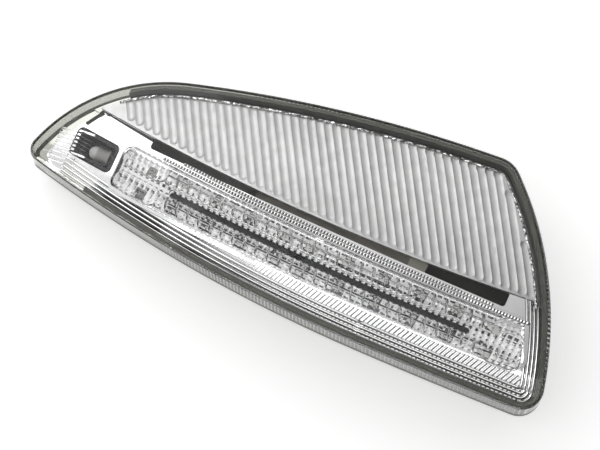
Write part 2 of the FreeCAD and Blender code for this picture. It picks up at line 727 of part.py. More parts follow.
def shaft(radius, top, bottom):
    """A cylinder on the local axis between two local heights."""
    return Part.makeCylinder(radius, top - bottom, vec(0, 0, bottom))


def post_blanks():
    """Posts under the boards and under the bezel's screw lugs, long enough to reach the floor."""
    board_post = shaft(s.post_radius, -s.board_wall, -s.tub_level)
    lug_post = shaft(s.lug_radius, -s.lug_wall, -s.tub_level)
    posts = [placed(board_post, seat) for seat in board_screw_seats()]
    posts += [placed(lug_post, seat) for seat in bezel_screw_seats()]
    return Part.makeCompound(posts)


def post_holes():
    """Pilot holes of those posts."""
    depth = s.screw_length + s.screw_spare
    radius = s.screw_radius + s.screw_fit
    holes = [placed(shaft(radius, 0, -depth), seat) for seat in board_screw_seats() + bezel_screw_seats()]
    return Part.makeCompound(holes)


def pin_boxes(side, low, high):
    """The row of connector pins, or of the holes that hold them."""
    pins = []
    for index in range(int(s.pin_count)):
        x = s.socket_x + (index - (s.pin_count - 1) / 2) * s.pin_pitch
        pins.append(Part.makeBox(side, side, high - low, vec(x - side / 2, s.socket_y - side / 2, low)))
    return Part.makeCompound(pins)


SOCKET_FLOOR_Z = front_point(s.socket_x, s.socket_y, s.tub_level).z
VENT_FOOT = front_z("-Sizes.vent_x", "Sizes.vent_y", "Sizes.tub_level") + " - Sizes.vent_height"


def ground_slab(name, height):
    """Everything up to a height over the plane of the boss faces."""
    return box(name, "4 * Sizes.tip_reach", "2 * Sizes.tip_reach", height, "-2 * Sizes.tip_reach", "-Sizes.tip_reach")


def make_rear_housing():
    inside_floor = barrel("Sizes.tub_level - Sizes.tub_wall / 2")
    flange = layer("Flange", outline_blank("0"), FLANGE, FLANGE + " + Sizes.flange_wall")
    collar_ring = cut("CollarRing", outline_blank("Sizes.skirt_wall + Sizes.collar_gap"),
                      outline_blank("Sizes.bezel_inset - Sizes.collar_gap"))
    collar_end = box("CollarEnd", "Sizes.blank_height", "2 * Sizes.tip_reach", "Sizes.blank_height",
                     "-Sizes.collar_tip_x - Sizes.blank_height", "-Sizes.tip_reach")
    collar = layer("Collar", cut("CollarPlan", collar_ring, collar_end), "Sizes.lens_wall + Sizes.seat_gap",
                   FLANGE + " + Sizes.flange_wall / 2")
    tub = layer("Tub", outline_blank("Sizes.tub_inset"), FLANGE, "Sizes.tub_level")
    tub = cut("TubRaised", tub, ground_slab("BelowTub", "Sizes.tub_rise"))
    cavity = cut("Cavity", outline_blank("Sizes.tub_inset + Sizes.tub_wall"),
                 barrel("Sizes.tub_level - Sizes.tub_wall"))
    cavity = cut("CavityRaised", cavity, ground_slab("BelowCavity", "Sizes.tub_rise + Sizes.tub_wall"))
    ring = cut("GrooveRing", outline_blank("Sizes.bead_inset"),
               outline_blank("Sizes.bead_inset + Sizes.bead_width"))
    groove = cut("Groove", ring, barrel("Sizes.skirt_depth + Sizes.bead_height"))
    columns = []
    cores = []
    bores = []
    for index, (x, y) in enumerate(BOSSES):
        columns.append(upright_cylinder("BossColumn%d" % index, x, y, "Sizes.boss_radius"))
        cores.append(upright_cylinder("BossCore%d" % index, x, y, "Sizes.boss_radius",
                                      "Sizes.bore_depth + Sizes.boss_crown"))
        bores.append(upright_cylinder("Bore%d" % index, x, y, "Sizes.bore_radius", "Sizes.bore_depth"))
    socket = box("SocketBlock", "Sizes.socket_length + 2 * Sizes.socket_wall",
                 "Sizes.socket_width + 2 * Sizes.socket_wall", "Sizes.blank_height",
                 "Sizes.socket_x - Sizes.socket_length / 2 - Sizes.socket_wall",
                 "Sizes.socket_y - Sizes.socket_width / 2 - Sizes.socket_wall", "Sizes.socket_mouth")
    mouth = box("SocketMouth", "Sizes.socket_length", "Sizes.socket_width", "Sizes.blank_height",
                "Sizes.socket_x - Sizes.socket_length / 2", "Sizes.socket_y - Sizes.socket_width / 2", "0")
    vent_collar = upright_cylinder("VentCollar", "-Sizes.vent_x", "Sizes.vent_y", "Sizes.vent_radius",
                                   "Sizes.vent_height + Sizes.tub_wall", VENT_FOOT)
    outside = fuse("BackBlanks", *columns, feature("GussetBlanks", gusset_blanks()), socket, vent_collar)
    outside = common("BackFittings", outside, inside_floor)
    rib_zone = common("RibZone", outline_blank("Sizes.tub_inset + Sizes.tub_wall / 2"), inside_floor)
    rib_zone = cut("RibLayer", rib_zone, barrel("Sizes.tub_level + Sizes.rib_height"))
    ribs = common("BackRibs", feature("RibBlanks", rib_blanks()), rib_zone)
    shell = cut("HousingShell", fuse("HousingBlank", flange, collar, tub, outside, ribs), cavity)
    posts = cut("Posts", feature("PostBlanks", post_blanks()), inside_floor)
    solid = fuse("HousingSolid", shell, posts, *cores)
    holes = feature("HousingHoles", Part.makeCompound([
        post_holes(), pin_boxes(s.pin_side, 0, SOCKET_FLOOR_Z + s.tub_wall * 3)]))
    vent_hole = upright_cylinder("VentHole", "-Sizes.vent_x", "Sizes.vent_y", "Sizes.vent_bore")
    socket_hollow = common("SocketHollow", mouth, barrel("Sizes.tub_level"))
    tools = fuse("HousingTools", groove, socket_hollow, *bores, vent_hole)
    return node(cut("RearHousing", cut("HousingDrilled", solid, tools), holes), "rear_housing")


# Fluted panel


def panel_disc(offset):
    """The region above the panel's lower border, moved outward by an offset."""
    return upright_cylinder("PanelDisc%d" % len(doc.Objects), "Sizes.panel_bend_x",
                            "Sizes.panel_low + Sizes.panel_bend", "Sizes.panel_bend + (%s)" % offset)


def panel_border(x):
    """The panel's lower border."""
    return s.panel_low + s.panel_bend - math.sqrt(s.panel_bend ** 2 - (x - s.panel_bend_x) ** 2)


def flute_cutters():
    """One scoop for each flute, following the curved face, with round ends."""
    lean = math.radians(s.flute_angle)
    along = vec(-math.sin(lean), math.cos(lean))
    across = vec(math.cos(lean), math.sin(lean))
    field = Part.Face(lamp_outline().makeOffset2D(-(s.panel_inset + s.flute_top_margin)))
    disc = Part.Face(Part.Wire(Part.makeCircle(s.panel_bend - s.flute_margin,
                                               vec(s.panel_bend_x, s.panel_low + s.panel_bend))))
    field = field.common(disc)
    reach = s.tip_reach + s.wide_reach
    count = int(reach / s.flute_pitch)
    scoops = []
    for index in range(-count, count):
        start = across * (index * s.flute_pitch) - along * reach
        chord = field.common(Part.makeLine(start, start + along * (2 * reach)))
        if not chord.Edges or chord.Length < 2 * s.flute_pitch:
            continue
        ends = [vertex.Point for vertex in chord.Vertexes]
        low, high = sorted((ends[0], ends[-1]), key=lambda point: point.y)
        path = [front_point(point.x, point.y, s.panel_level) for point in (low, (low + high) * 0.5, high)]
        circle = Part.Arc(*path).toShape().Curve
        first = path[0] - circle.Center
        turn_axis = first.cross(path[2] - circle.Center).normalize()
        sweep = math.degrees(2 * math.asin((path[2] - path[0]).Length / 2 / circle.Radius))
        channel = scoop_section(path[0], first, turn_axis).revolve(circle.Center, turn_axis, sweep)
        ends = [scoop_end(end, end - circle.Center, turn_axis) for end in (path[0], path[2])]
        scoops.append(channel.fuse(ends))
    return scoops


def scoop_radius():
    return ((s.flute_width / 2) ** 2 + s.flute_depth ** 2) / (2 * s.flute_depth)


def scoop_section(place_on_face, outward, sideways):
    """The cross-section of one scoop: a shallow arc, open above the face."""
    up = vec(outward.x, outward.y, outward.z).normalize()
    rim_right = place_on_face + sideways * (s.flute_width / 2)
    rim_left = place_on_face - sideways * (s.flute_width / 2)
    lift = up * s.flute_depth
    return Part.Face(Part.Wire([
        Part.Arc(rim_left, place_on_face - lift, rim_right).toShape(),
        Part.makeLine(rim_right, rim_right + lift),
        Part.makeLine(rim_right + lift, rim_left + lift),
        Part.makeLine(rim_left + lift, rim_left),
    ]))


def scoop_end(place_on_face, outward, sideways):
    """The round end of a scoop: a ball of the same radius, sunk to the same depth."""
    up = vec(outward.x, outward.y, outward.z).normalize()
    along = up.cross(sideways)
    radius = scoop_radius()
    middle = place_on_face + up * (radius - s.flute_depth)
    start = middle - along * radius
    stop = middle + along * radius
    arc = Part.Arc(start, middle + up * radius, stop).toShape()
    half = Part.Face(Part.Wire([arc, Part.makeLine(stop, start)]))
    return half.revolve(middle, along, 360)


PEGS = (vec(-62, 27), vec(-12, 38), vec(56, 43), vec(70, 22))


def peg_group(radius, top, bottom):
    pegs = []
    for peg in PEGS:
        z = front_point(peg.x, peg.y, s.panel_level + s.panel_wall).z
        pegs.append(Part.makeCylinder(radius, top + bottom, vec(peg.x, peg.y, z - bottom)))
    return Part.makeCompound(pegs)


def make_fluted_panel():
    blank = common("PanelOutline", outline_blank("Sizes.panel_inset"), panel_disc("0"))
    plate = layer("PanelPlate", blank, "Sizes.panel_level", "Sizes.panel_level + Sizes.panel_wall")
    doc.recompute()
    shape = plate.Shape
    for scoop in flute_cutters():
        shape = shape.cut(scoop)
    fluted = feature("PanelFluted", shape)
    pegs = feature("PanelPegs", peg_group(s.peg_radius, s.panel_wall / 2, s.peg_length))
    return node(fuse("FlutedPanel", fluted, pegs), "fluted_panel")


# Bezel


def tray_band(offset):
    """The tip compartment's outline, with its corners rounded by an offset outline."""
    return prism(tray_core, "Sizes.tray_corner + (%s)" % offset)


optic_zones = {}


def optic_band(offset):
    """The bar optic's outline moved outward by an offset, trimmed to follow the lamp's wide end."""
    if offset not in optic_zones:
        band = prism(optic_core, "Sizes.optic_corner + (%s)" % offset)
        zone = outline_blank("Sizes.optic_inset - (%s)" % offset)
        optic_zones[offset] = common("OpticZone%d" % len(optic_zones), band, zone)
    return optic_zones[offset]


def slot_outline():
    """The middle line of the slot's rounding: below along the bars, above just under the panel's edge."""
    places = (-s.slot_tip_x, (s.slot_wide_x - s.slot_tip_x) / 2, s.slot_wide_x)
    rises = (s.slot_low_tip, s.slot_low, s.slot_low_wide)
    lower = [bar_point(x, rise + s.slot_corner) for x, rise in zip(places, rises)]
    upper = [vec(x, panel_border(x) + s.slot_under - s.slot_corner) for x in places]
    return Part.Wire([
        Part.Arc(*lower).toShape(),
        Part.makeLine(lower[2], upper[2]),
        Part.Arc(upper[2], upper[1], upper[0]).toShape(),
        Part.makeLine(upper[0], lower[0]),
    ])


def frame_lines():
    """Two shallow lines along the upper bar's frame."""
    first = bar_band(-s.line_tip_x, s.line_wide_x, s.line_first, s.line_first + s.line_width)
    second = bar_band(-s.line_tip_x + s.line_short, s.line_wide_x - s.line_short,
                      s.line_second, s.line_second + s.line_width)
    blanks = Part.makeCompound([Part.Face(wire).extrude(UP * s.blank_height) for wire in (first, second)])
    blanks = feature("FrameLineBlanks", blanks)
    return cut("FrameLines", blanks, barrel("Sizes.bezel_level + Sizes.line_depth"))


def notch():
    """The leaning window beside the panel's narrow end."""
    item = doc.addObject("Part::Box", "Notch")
    item.Placement = FreeCAD.Placement(vec(0, 0), FreeCAD.Rotation(UP, s.notch_angle))
    bind(item, Length="Sizes.notch_length", Width="Sizes.notch_width", Height="Sizes.blank_height")
    return place(item, "-Sizes.notch_x", "Sizes.notch_y")


def make_trough_bezel():
    outer = []
    inner = []
    for index in range(int(s.step_count) + 1):
        inset = "Sizes.bezel_inset + %d * Sizes.step_width" % index
        level = "Sizes.bezel_level + %d * Sizes.step_drop" % (s.step_count - index)
        outer.append(common("StepOuter%d" % index, outline_blank(inset), barrel(level)))
        inner.append(common("StepInner%d" % index, outline_blank(inset + " + Sizes.bezel_wall"),
                            barrel(level + " + Sizes.bezel_wall")))
    cup = cut("BezelCup", fuse("BezelOuter", *outer), fuse("BezelInner", *inner))
    plate = cut("BezelPlate", cup, barrel(FLANGE))
    pocket = common("PanelPocketPlan", outline_blank("Sizes.panel_inset - Sizes.seat_gap"),
                    panel_disc("Sizes.seat_gap"))
    pocket = cut("PanelPocket", pocket, barrel("Sizes.seat_level"))
    seat = common("SeatPlan", outline_blank("Sizes.bezel_inset"), panel_disc("Sizes.seat_margin"))
    seat = layer("Seat", seat, "Sizes.seat_level", "Sizes.seat_level + Sizes.seat_wall")
    lug = shaft(s.lug_radius, s.screw_sink, -s.lug_wall)
    lugs = feature("Lugs", Part.makeCompound([placed(lug, seat_place) for seat_place in bezel_screw_seats()]))
    lugs = common("LugsTrimmed", lugs, barrel("Sizes.seat_level"))
    wall_ring = cut("TroughRing", optic_band("Sizes.trough_gap + Sizes.trough_wall"),
                    optic_band("Sizes.trough_gap"))
    walls = layer("TroughWall", wall_ring, "Sizes.bezel_level", "Sizes.trough_level")
    ledge_ring = cut("LedgeRing", optic_band("Sizes.trough_gap + Sizes.trough_wall / 2"),
                     optic_band("-Sizes.ledge_reach"))
    ledge_top = "Sizes.optic_level + Sizes.optic_wall + Sizes.seat_gap"
    ledge = layer("TroughLedge", ledge_ring, ledge_top, ledge_top + " + Sizes.ledge_wall")
    tray_foot = "Sizes.tray_level + Sizes.tray_wall + Sizes.seat_gap"
    tray_walls = layer("TrayWall", cut("TrayRing", tray_band("Sizes.trough_wall"), tray_band("0")),
                       "Sizes.bezel_level", tray_foot + " + Sizes.ledge_wall")
    tray_ledge = layer("TrayLedge", cut("TrayLedgeRing", tray_band("Sizes.trough_wall / 2"),
                                        tray_band("-Sizes.ledge_reach")),
                       tray_foot, tray_foot + " + Sizes.ledge_wall")
    windows = fuse("Windows", optic_band("Sizes.trough_gap"), tray_band("0"))
    solid = fuse("BezelSolid", cut("BezelPocketed", plate, pocket), seat, lugs)
    opened = cut("BezelOpened", solid, windows)
    framed = fuse("BezelFramed", opened, walls, ledge, tray_walls, tray_ledge)
    framed = cut("BezelClear", framed, fuse("LedgeWindows", optic_band("-Sizes.ledge_reach"),
                                            tray_band("-Sizes.ledge_reach")))
    slot = prism(slot_core, "Sizes.slot_corner")
    holes = [placed(shaft(s.screw_head + s.screw_clear, s.seat_level, 0), seat_place)
             for seat_place in bezel_screw_seats()]
    holes += [placed(shaft(s.screw_radius + s.screw_clear, 0, -s.seat_level), seat_place)
              for seat_place in bezel_screw_seats()]
    holes.append(peg_group(s.peg_radius + s.peg_gap, s.panel_wall, s.tub_level))
    cuts = fuse("BezelCuts", slot, notch(), frame_lines(), feature("BezelHoles", Part.makeCompound(holes)))
    return node(cut("TroughBezel", framed, cuts), "trough_bezel")


# Twin bar optic


def row_section(middle):
    """Half-round row of cells, cut across: sloped sides and a groove along its crown."""
    foot = (s.row_half, s.optic_level + s.optic_wall / 2)
    shoulder = (s.row_half - s.row_side, s.row_level + s.row_shoulder)
    half = [foot, shoulder, (s.row_half / 2, s.row_level), (s.crown_half, s.row_level)]
    section = [(-across, level) for across, level in half] + [(0, s.row_level + s.crown_depth)] + half[::-1]
    points = []
    for across, level in section:
        point = bar_point(s.bar_x, middle + across)
        points.append(front_point(point.x, point.y, level))
    return Part.Face(Part.makePolygon(points + points[:1]))


def bar_axis():
    """The axis that a bar sweeps about: its bow in the plan and its fall along the length, together."""
    left, middle, right = [bar_point(x, (s.row_high - s.row_low) / 2) for x in
                           (s.bar_x - s.row_tip_x, s.bar_x, s.bar_x + s.row_tip_x)]
    path = [front_point(point.x, point.y, s.row_level) for point in (left, middle, right)]
    return Part.Arc(*path).toShape().Curve


def make_twin_bar_optic():
    web = layer("OpticWeb", cut("OpticPlan", optic_band("0"), prism(split_core, "Sizes.split_half")),
                "Sizes.optic_level", "Sizes.optic_level + Sizes.optic_wall")
    rows = []
    grooves = []
    arc = bar_axis()
    axis = arc.Axis if arc.Axis.z > 0 else arc.Axis * -1
    centre = arc.Center
    start = math.degrees(-(s.row_tip_x + s.bar_x) / arc.Radius)
    stop = math.degrees((s.row_wide_x - s.bar_x) / arc.Radius)
    step = math.degrees(s.cell_pitch / arc.Radius)
    for middle in (s.row_high, -s.row_low):
        section = row_section(middle)
        section.rotate(centre, axis, start)
        rows.append(section.revolve(centre, axis, stop - start))
        crown = bar_point(s.bar_x, middle)
        top = front_point(crown.x, crown.y, s.row_level)
        corners = [vec(-s.cell_groove, 0, s.groove_spare), vec(0, 0, -s.cell_groove_depth),
                   vec(s.cell_groove, 0, s.groove_spare)]
        wedge = Part.Face(Part.makePolygon(corners + corners[:1])).extrude(vec(0, 3 * s.row_half))
        wedge.translate(vec(0, -1.5 * s.row_half))
        wedge.rotate(vec(0, 0), UP, s.cell_slant)
        wedge.translate(top)
        for index in range(int((stop - start) / step) + 1):
            groove = wedge.copy()
            groove.rotate(centre, axis, start + index * step)
            grooves.append(groove)
    rows = cut("OpticRows", feature("RowSweeps", Part.makeCompound(rows)),
               feature("CellGrooves", Part.makeCompound(grooves)))
    ends = common("EndPlan", feature("EndBlanks", optic_ends()), optic_band("0"))
    ends = layer("OpticEnds", ends, "Sizes.row_level + Sizes.end_drop", "Sizes.optic_level + Sizes.optic_wall")
    ring = upright_cylinder("RingOutside", "Sizes.ring_x", "-Sizes.ring_y", "Sizes.ring_radius")
    ring_core = upright_cylinder("RingInside", "Sizes.ring_x", "-Sizes.ring_y",
                                 "Sizes.ring_radius - Sizes.ring_wall")
    hollows = fuse("HollowPlan", cut("RingHollow", ring, ring_core), lobe_pockets())
    hollows = cut("EndHollows", hollows, barrel("Sizes.row_level + Sizes.ring_depth"))
    whole = fuse("OpticWhole", web, rows, ends)
    return node(cut("TwinBarOptic", whole, hollows), "twin_bar_optic")


def lobe_pockets():
    """A square hollow in each round lobe."""
    pockets = []
    for index, across in enumerate((s.row_high, -s.row_low)):
        corner_point = bar_point(-s.optic_tip_x + s.row_half, across)
        pockets.append(box("LobePocket%d" % index, "Sizes.pocket_side", "Sizes.pocket_side", "Sizes.blank_height",
                           "%.3f" % corner_point.x, "%.3f - Sizes.pocket_side / 2" % corner_point.y))
    return fuse("LobePockets", *pockets)


def optic_ends():
    """Two round lobes at the tip end and the end block at the wide end."""
    blanks = []
    lobe = s.row_half + s.lobe_margin
    for middle in (s.row_high, -s.row_low):
        left = bar_band(-s.optic_tip_x + lobe + s.lobe_core, -s.row_tip_x - lobe / 2,
                        middle - s.lobe_core, middle + s.lobe_core)
        blanks.append(Part.Face(left.makeOffset2D(lobe - s.lobe_core)).extrude(UP * s.blank_height))
    inset = s.end_corner + s.end_core
    block = bar_band(s.row_wide_x + s.end_corner, s.optic_wide_x - s.end_corner - s.end_margin,
                     -s.optic_low + inset, s.optic_high - inset)
    blanks.append(Part.Face(block.makeOffset2D(s.end_corner)).extrude(UP * s.blank_height))
    return Part.makeCompound(blanks)


# Bright tray under the bar optic


def make_bar_reflector():
    """The tray has a window over each diode and a slit below the gap between the rows."""
    tray = layer("ReflectorPlate", optic_band("0"), "Sizes.reflector_level",
                 "Sizes.reflector_level + Sizes.reflector_wall")
    length = s.chip_length + 2 * s.window_gap
    width = s.chip_width + 2 * s.window_gap
    window = Part.makeBox(length, width, s.board_level, vec(-length / 2, -width / 2))
    windows = feature("DiodeWindows", Part.makeCompound([placed(window, seat) for seat in diode_seats()]))
    slit = prism(split_core, "Sizes.split_half")
    return node(cut("BarReflector", cut("ReflectorSlit", tray, slit), windows), "bar_reflector")


# Tip compartment


def ramp_blanks():
    """The ribbed ramp between the tray's outer end and its floor, before trimming."""
    left = -s.tray_tip_x + s.tray_gap
    right = left + s.ramp_length
    high = front_point(left, s.lamp_y, s.bezel_level + s.ramp_top).z
    low = front_point(right, s.lamp_y, s.tray_level - s.ramp_foot).z
    bottom = low - s.tray_level
    corners = [vec(left, -s.tray_low, high), vec(right, -s.tray_low, low), vec(right, -s.tray_low, bottom),
               vec(left, -s.tray_low, bottom)]
    ramp = Part.Face(Part.makePolygon(corners + corners[:1])).extrude(vec(0, s.blank_height))
    start = vec(left, 0, high)
    run = vec(right, 0, low) - start
    ribs = []
    for index in range(int(s.flute_tray_count)):
        y = s.lamp_y + (index - (s.flute_tray_count - 1) / 2) * s.flute_tray_pitch
        ribs.append(Part.makeCylinder(s.flute_tray_pitch * s.ramp_share, run.Length, start + vec(0, y), run))
    return ramp.fuse(ribs)


def make_tip_reflector():
    rim = "Sizes.bezel_level + Sizes.tray_rim"
    outer = layer("TrayBody", tray_band("-Sizes.tray_gap"), rim, "Sizes.tray_level + Sizes.tray_wall")
    hollow = cut("TrayHollow", tray_band("-Sizes.tray_gap - Sizes.tray_wall"), barrel("Sizes.tray_level"))
    inside = layer("TrayInside", tray_band("-Sizes.tray_gap - Sizes.tray_wall / 2"), rim,
                   "Sizes.tray_level + Sizes.tray_wall / 2")
    ramp = common("TrayRamp", feature("RampBlanks", ramp_blanks()), inside)
    lead_x = -s.lamp_x + s.lamp_length + s.flange_length + s.lead_bend
    lead_hole = Part.makeCylinder(s.lead_radius + s.peg_gap, s.blank_height)
    holes = []
    for side in (-1, 1):
        axis = vec(lead_x, s.lamp_y + side * s.lead_spacing / 2)
        holes.append(placed(lead_hole, FreeCAD.Placement(axis, FreeCAD.Rotation())))
    whole = fuse("TrayWhole", cut("Tray", outer, hollow), ramp)
    return node(cut("TipReflector", whole, feature("LeadHoles", Part.makeCompound(holes))), "tip_reflector")


LAMP_POINT = front_point(-s.lamp_x, s.lamp_y, s.lamp_level)
LAMP_Z = front_z("-Sizes.lamp_x", "Sizes.lamp_y", "Sizes.lamp_level")
ALONG = FreeCAD.Rotation(UP, vec(1, 0))


def make_tip_lamp():
    """A round diode lying along the length, its dome towards the tip."""
    body = upright_cylinder("LampBody", "0", "0", "Sizes.lamp_radius", "Sizes.lamp_length")
    flange = upright_cylinder("LampFlange", "0", "0", "Sizes.lamp_flange", "Sizes.flange_length",
                              "Sizes.lamp_length")
    dome = bind(doc.addObject("Part::Sphere", "LampDome"), Radius="Sizes.lamp_radius")
    lamp = fuse("LampShape", body, dome, flange)
    lamp.Refine = True
    return group("TipLamp", lamp, [FreeCAD.Placement(LAMP_POINT, ALONG)], "tip_lamp")


def make_lamp_leads():
    """Each lead leaves the lamp along the length and bends down through the tip board."""
    drop = LAMP_POINT.z - TIP_BOARD_Z + s.board_wall
    out = doc.addObject("Part::Cylinder", "LeadOut")
    out.Placement = FreeCAD.Placement(vec(0, 0), ALONG)
    bind(out, Radius="Sizes.lead_radius", Height="Sizes.lead_bend")
    place(out, "-Sizes.lead_bend")
    down = upright_cylinder("LeadDown", "0", "0", "Sizes.lead_radius", "%.4f" % drop, "-%.4f" % drop)
    bend = bind(doc.addObject("Part::Sphere", "LeadBend"), Radius="Sizes.lead_radius")
    lead = fuse("Lead", out, bend, down)
    bends = [LAMP_POINT + vec(s.lamp_length + s.flange_length + s.lead_bend, sign * s.lead_spacing / 2)
             for sign in (-1, 1)]
    places = [FreeCAD.Placement(point, FreeCAD.Rotation()) for point in bends]
    return group("LampLeads", lead, places, "tip_lamp_leads")


def make_lamp_holder():
    """A block from the tray's floor up to the lamp's axis, hollowed for the lamp's body."""
    side = "(Sizes.lamp_flange + Sizes.holder_side)"
    block = box("HolderBlock", "Sizes.lamp_length - 2 * Sizes.holder_end", "2 * " + side, LAMP_Z,
                "-Sizes.lamp_x + Sizes.holder_end", "Sizes.lamp_y - " + side)
    cradle = doc.addObject("Part::Cylinder", "HolderCradle")
    cradle.Placement = FreeCAD.Placement(vec(0, 0), ALONG)
    bind(cradle, Radius="Sizes.lamp_radius + Sizes.holder_gap", Height="2 * Sizes.lamp_length")
    place(cradle, "-Sizes.lamp_x - Sizes.lamp_length / 2", "Sizes.lamp_y", LAMP_Z)
    holder = cut("HolderHollowed", block, cradle)
    return node(cut("LampHolder", holder, barrel("Sizes.tray_level")), "tip_lamp_holder")


# Boards, each made in a frame of its own with its face in the plane z = 0


def drilled_board(name, length, width, holes):
    blank = centred_box(name + "Blank", length, width, "Sizes.board_wall", "-Sizes.board_wall")
    drills = [upright_cylinder("%sDrill%d" % (name, index), x, y, radius, "2 * Sizes.board_wall",
                               "-1.5 * Sizes.board_wall") for index, (x, y, radius) in enumerate(holes)]
    return cut(name + "Drilled", blank, fuse(name + "Drills", *drills))


SCREW_HOLE = "Sizes.screw_radius + Sizes.screw_clear"


def make_diode_board(name, label, frame):
    length = "%.4f" % frame.length
    holes = [("%s(%s / 2 - Sizes.screw_margin)" % (sign, length), "0", SCREW_HOLE) for sign in ("-", "")]
    return group(name, drilled_board(name, length, "Sizes.board_width", holes), [frame.placement], label)


def diode_seats():
    """Placement of each bar diode, in two rows under the cells."""
    seats = []
    pitch = s.chip_every * s.cell_pitch
    middle = (s.row_high - s.row_low) / 2
    for frame in (TIP_FRAME, WIDE_FRAME):
        count = int((frame.length - s.chip_length) / pitch) + 1
        for index in range(count):
            u = (index - (count - 1) / 2) * pitch
            for row in (s.row_high, -s.row_low):
                seats.append(frame.placement * FreeCAD.Placement(vec(u, row - middle), FreeCAD.Rotation()))
    return seats


def make_bar_diodes():
    case = centred_box("DiodeCase", "Sizes.chip_length", "Sizes.chip_width", "Sizes.chip_height")
    window = upright_cylinder("DiodeWindow", "0", "0", "Sizes.chip_window",
                              foot="Sizes.chip_height - Sizes.chip_window_depth")
    return group("BarDiodes", cut("BarDiode", case, window), diode_seats(), "bar_leds")


def make_driver_board():
    ends = [("%s(Sizes.driver_length / 2 - Sizes.screw_margin)" % sign,
             "%s(Sizes.driver_width / 2 - Sizes.screw_margin)" % sign, SCREW_HOLE) for sign in ("-", "")]
    pins = [("Sizes.socket_x - Sizes.driver_x + (%g) * Sizes.pin_pitch" % (index - (s.pin_count - 1) / 2),
             "Sizes.socket_y - Sizes.driver_y", "0.9 * Sizes.pin_side") for index in range(int(s.pin_count))]
    board = drilled_board("Driver", "Sizes.driver_length", "Sizes.driver_width", ends + pins)
    return group("DriverBoard", board, [DRIVER_PLACE], "driver_board")


def on_driver(x, y):
    return DRIVER_PLACE * FreeCAD.Placement(vec(x, y), FreeCAD.Rotation())


def make_driver_chip():
    case = centred_box("ChipCase", "Sizes.case_length", "Sizes.case_width", "Sizes.case_height",
                       "Sizes.case_lift")
    legs = []
    for index in range(int(s.leg_count)):
        x = "(%g) * Sizes.leg_pitch - Sizes.leg_width / 2" % (index - (s.leg_count - 1) / 2)
        legs.append(box("ChipLeg%d" % index, "Sizes.leg_width", "Sizes.leg_span", "Sizes.leg_height",
                        x, "-Sizes.leg_span / 2"))
    return group("DriverChip", fuse("ChipShape", case, *legs), [on_driver(-s.case_x, 0)], "driver_chip")


def make_driver_parts():
    resistor = box("Resistor", "Sizes.resistor_length", "Sizes.resistor_width", "Sizes.resistor_height")
    places = [on_driver(-s.resistor_x + s.resistor_pitch * column, -s.resistor_y + s.resistor_row * row)
              for row in (0, 1) for column in (0, 1, 2)]
    group("DriverResistors", resistor, places, "driver_resistors")
    can = upright_cylinder("Capacitor", "0", "0", "Sizes.can_radius", "Sizes.can_height")
    places = [on_driver(s.can_x + side * s.can_pitch / 2, s.can_y) for side in (-1, 1)]
    group("DriverCapacitors", can, places, "driver_capacitors")


def make_tip_board():
    lead_x = "-Sizes.lamp_x + Sizes.lamp_length + Sizes.flange_length + Sizes.lead_bend + Sizes.tip_board_x"
    holes = [("0", "0", SCREW_HOLE)]
    holes += [(lead_x, "%sSizes.lead_spacing / 2" % sign, "Sizes.lead_radius + Sizes.screw_clear")
              for sign in ("-", "")]
    board = drilled_board("TipBoard", "Sizes.tip_board_length", "Sizes.tip_board_width", holes)
    return group("TipBoardPlaced", board, [TIP_BOARD_PLACE], "tip_board")


def make_board_links():
    """Bare wire links that join the diode boards over the gap between them."""
    rise = TIP_FRAME.placement.Rotation.multVec(UP) * s.link_lift
    places = []
    for side in (-1, 1):
        start = TIP_FRAME.placement.multVec(vec(TIP_FRAME.length / 2 - s.link_foot, side * s.link_spacing))
        end = WIDE_FRAME.placement.multVec(vec(-WIDE_FRAME.length / 2 + s.link_foot, side * s.link_spacing))
        places.append(FreeCAD.Placement(start + rise, FreeCAD.Rotation(UP, end - start)))
    wire = upright_cylinder("Link", "0", "0", "Sizes.link_radius", "%.4f" % (end - start).Length)
    return group("BoardLinks", wire, places, "board_links")


def make_flex():
    """The ribbon that shows in the slot, and its plug."""
    top = "Sizes.seat_level + Sizes.seat_wall + Sizes.seat_gap"
    pieces = (("FlexJumper", -s.flex_tip_x, s.flex_wide_x, "Sizes.flex_wall", "flex_jumper"),
              ("FlexPlug", s.flex_wide_x, s.flex_wide_x + s.plug_length, "Sizes.plug_height", "flex_plug"))
    for name, left, right, height, label in pieces:
        blank = Part.Face(bar_band(left, right, s.flex_low, s.flex_high)).extrude(UP * s.blank_height)
        node(layer(name, feature(name + "Plan", blank), top, "%s + %s" % (top, height)), label)


# Connector pins, screws and vent


def make_connector_pins():
    foot = SOCKET_FLOOR_Z - s.pin_reach
    length = DRIVER_Z + 1.5 * s.pin_side - foot
    pin = centred_box("Pin", "Sizes.pin_side", "Sizes.pin_side", "%.4f" % length)
    places = []
    for index in range(int(s.pin_count)):
        x = s.socket_x + (index - (s.pin_count - 1) / 2) * s.pin_pitch
        places.append(FreeCAD.Placement(vec(x, s.socket_y, foot), FreeCAD.Rotation()))
    return group("ConnectorPins", pin, places, "connector_pins")


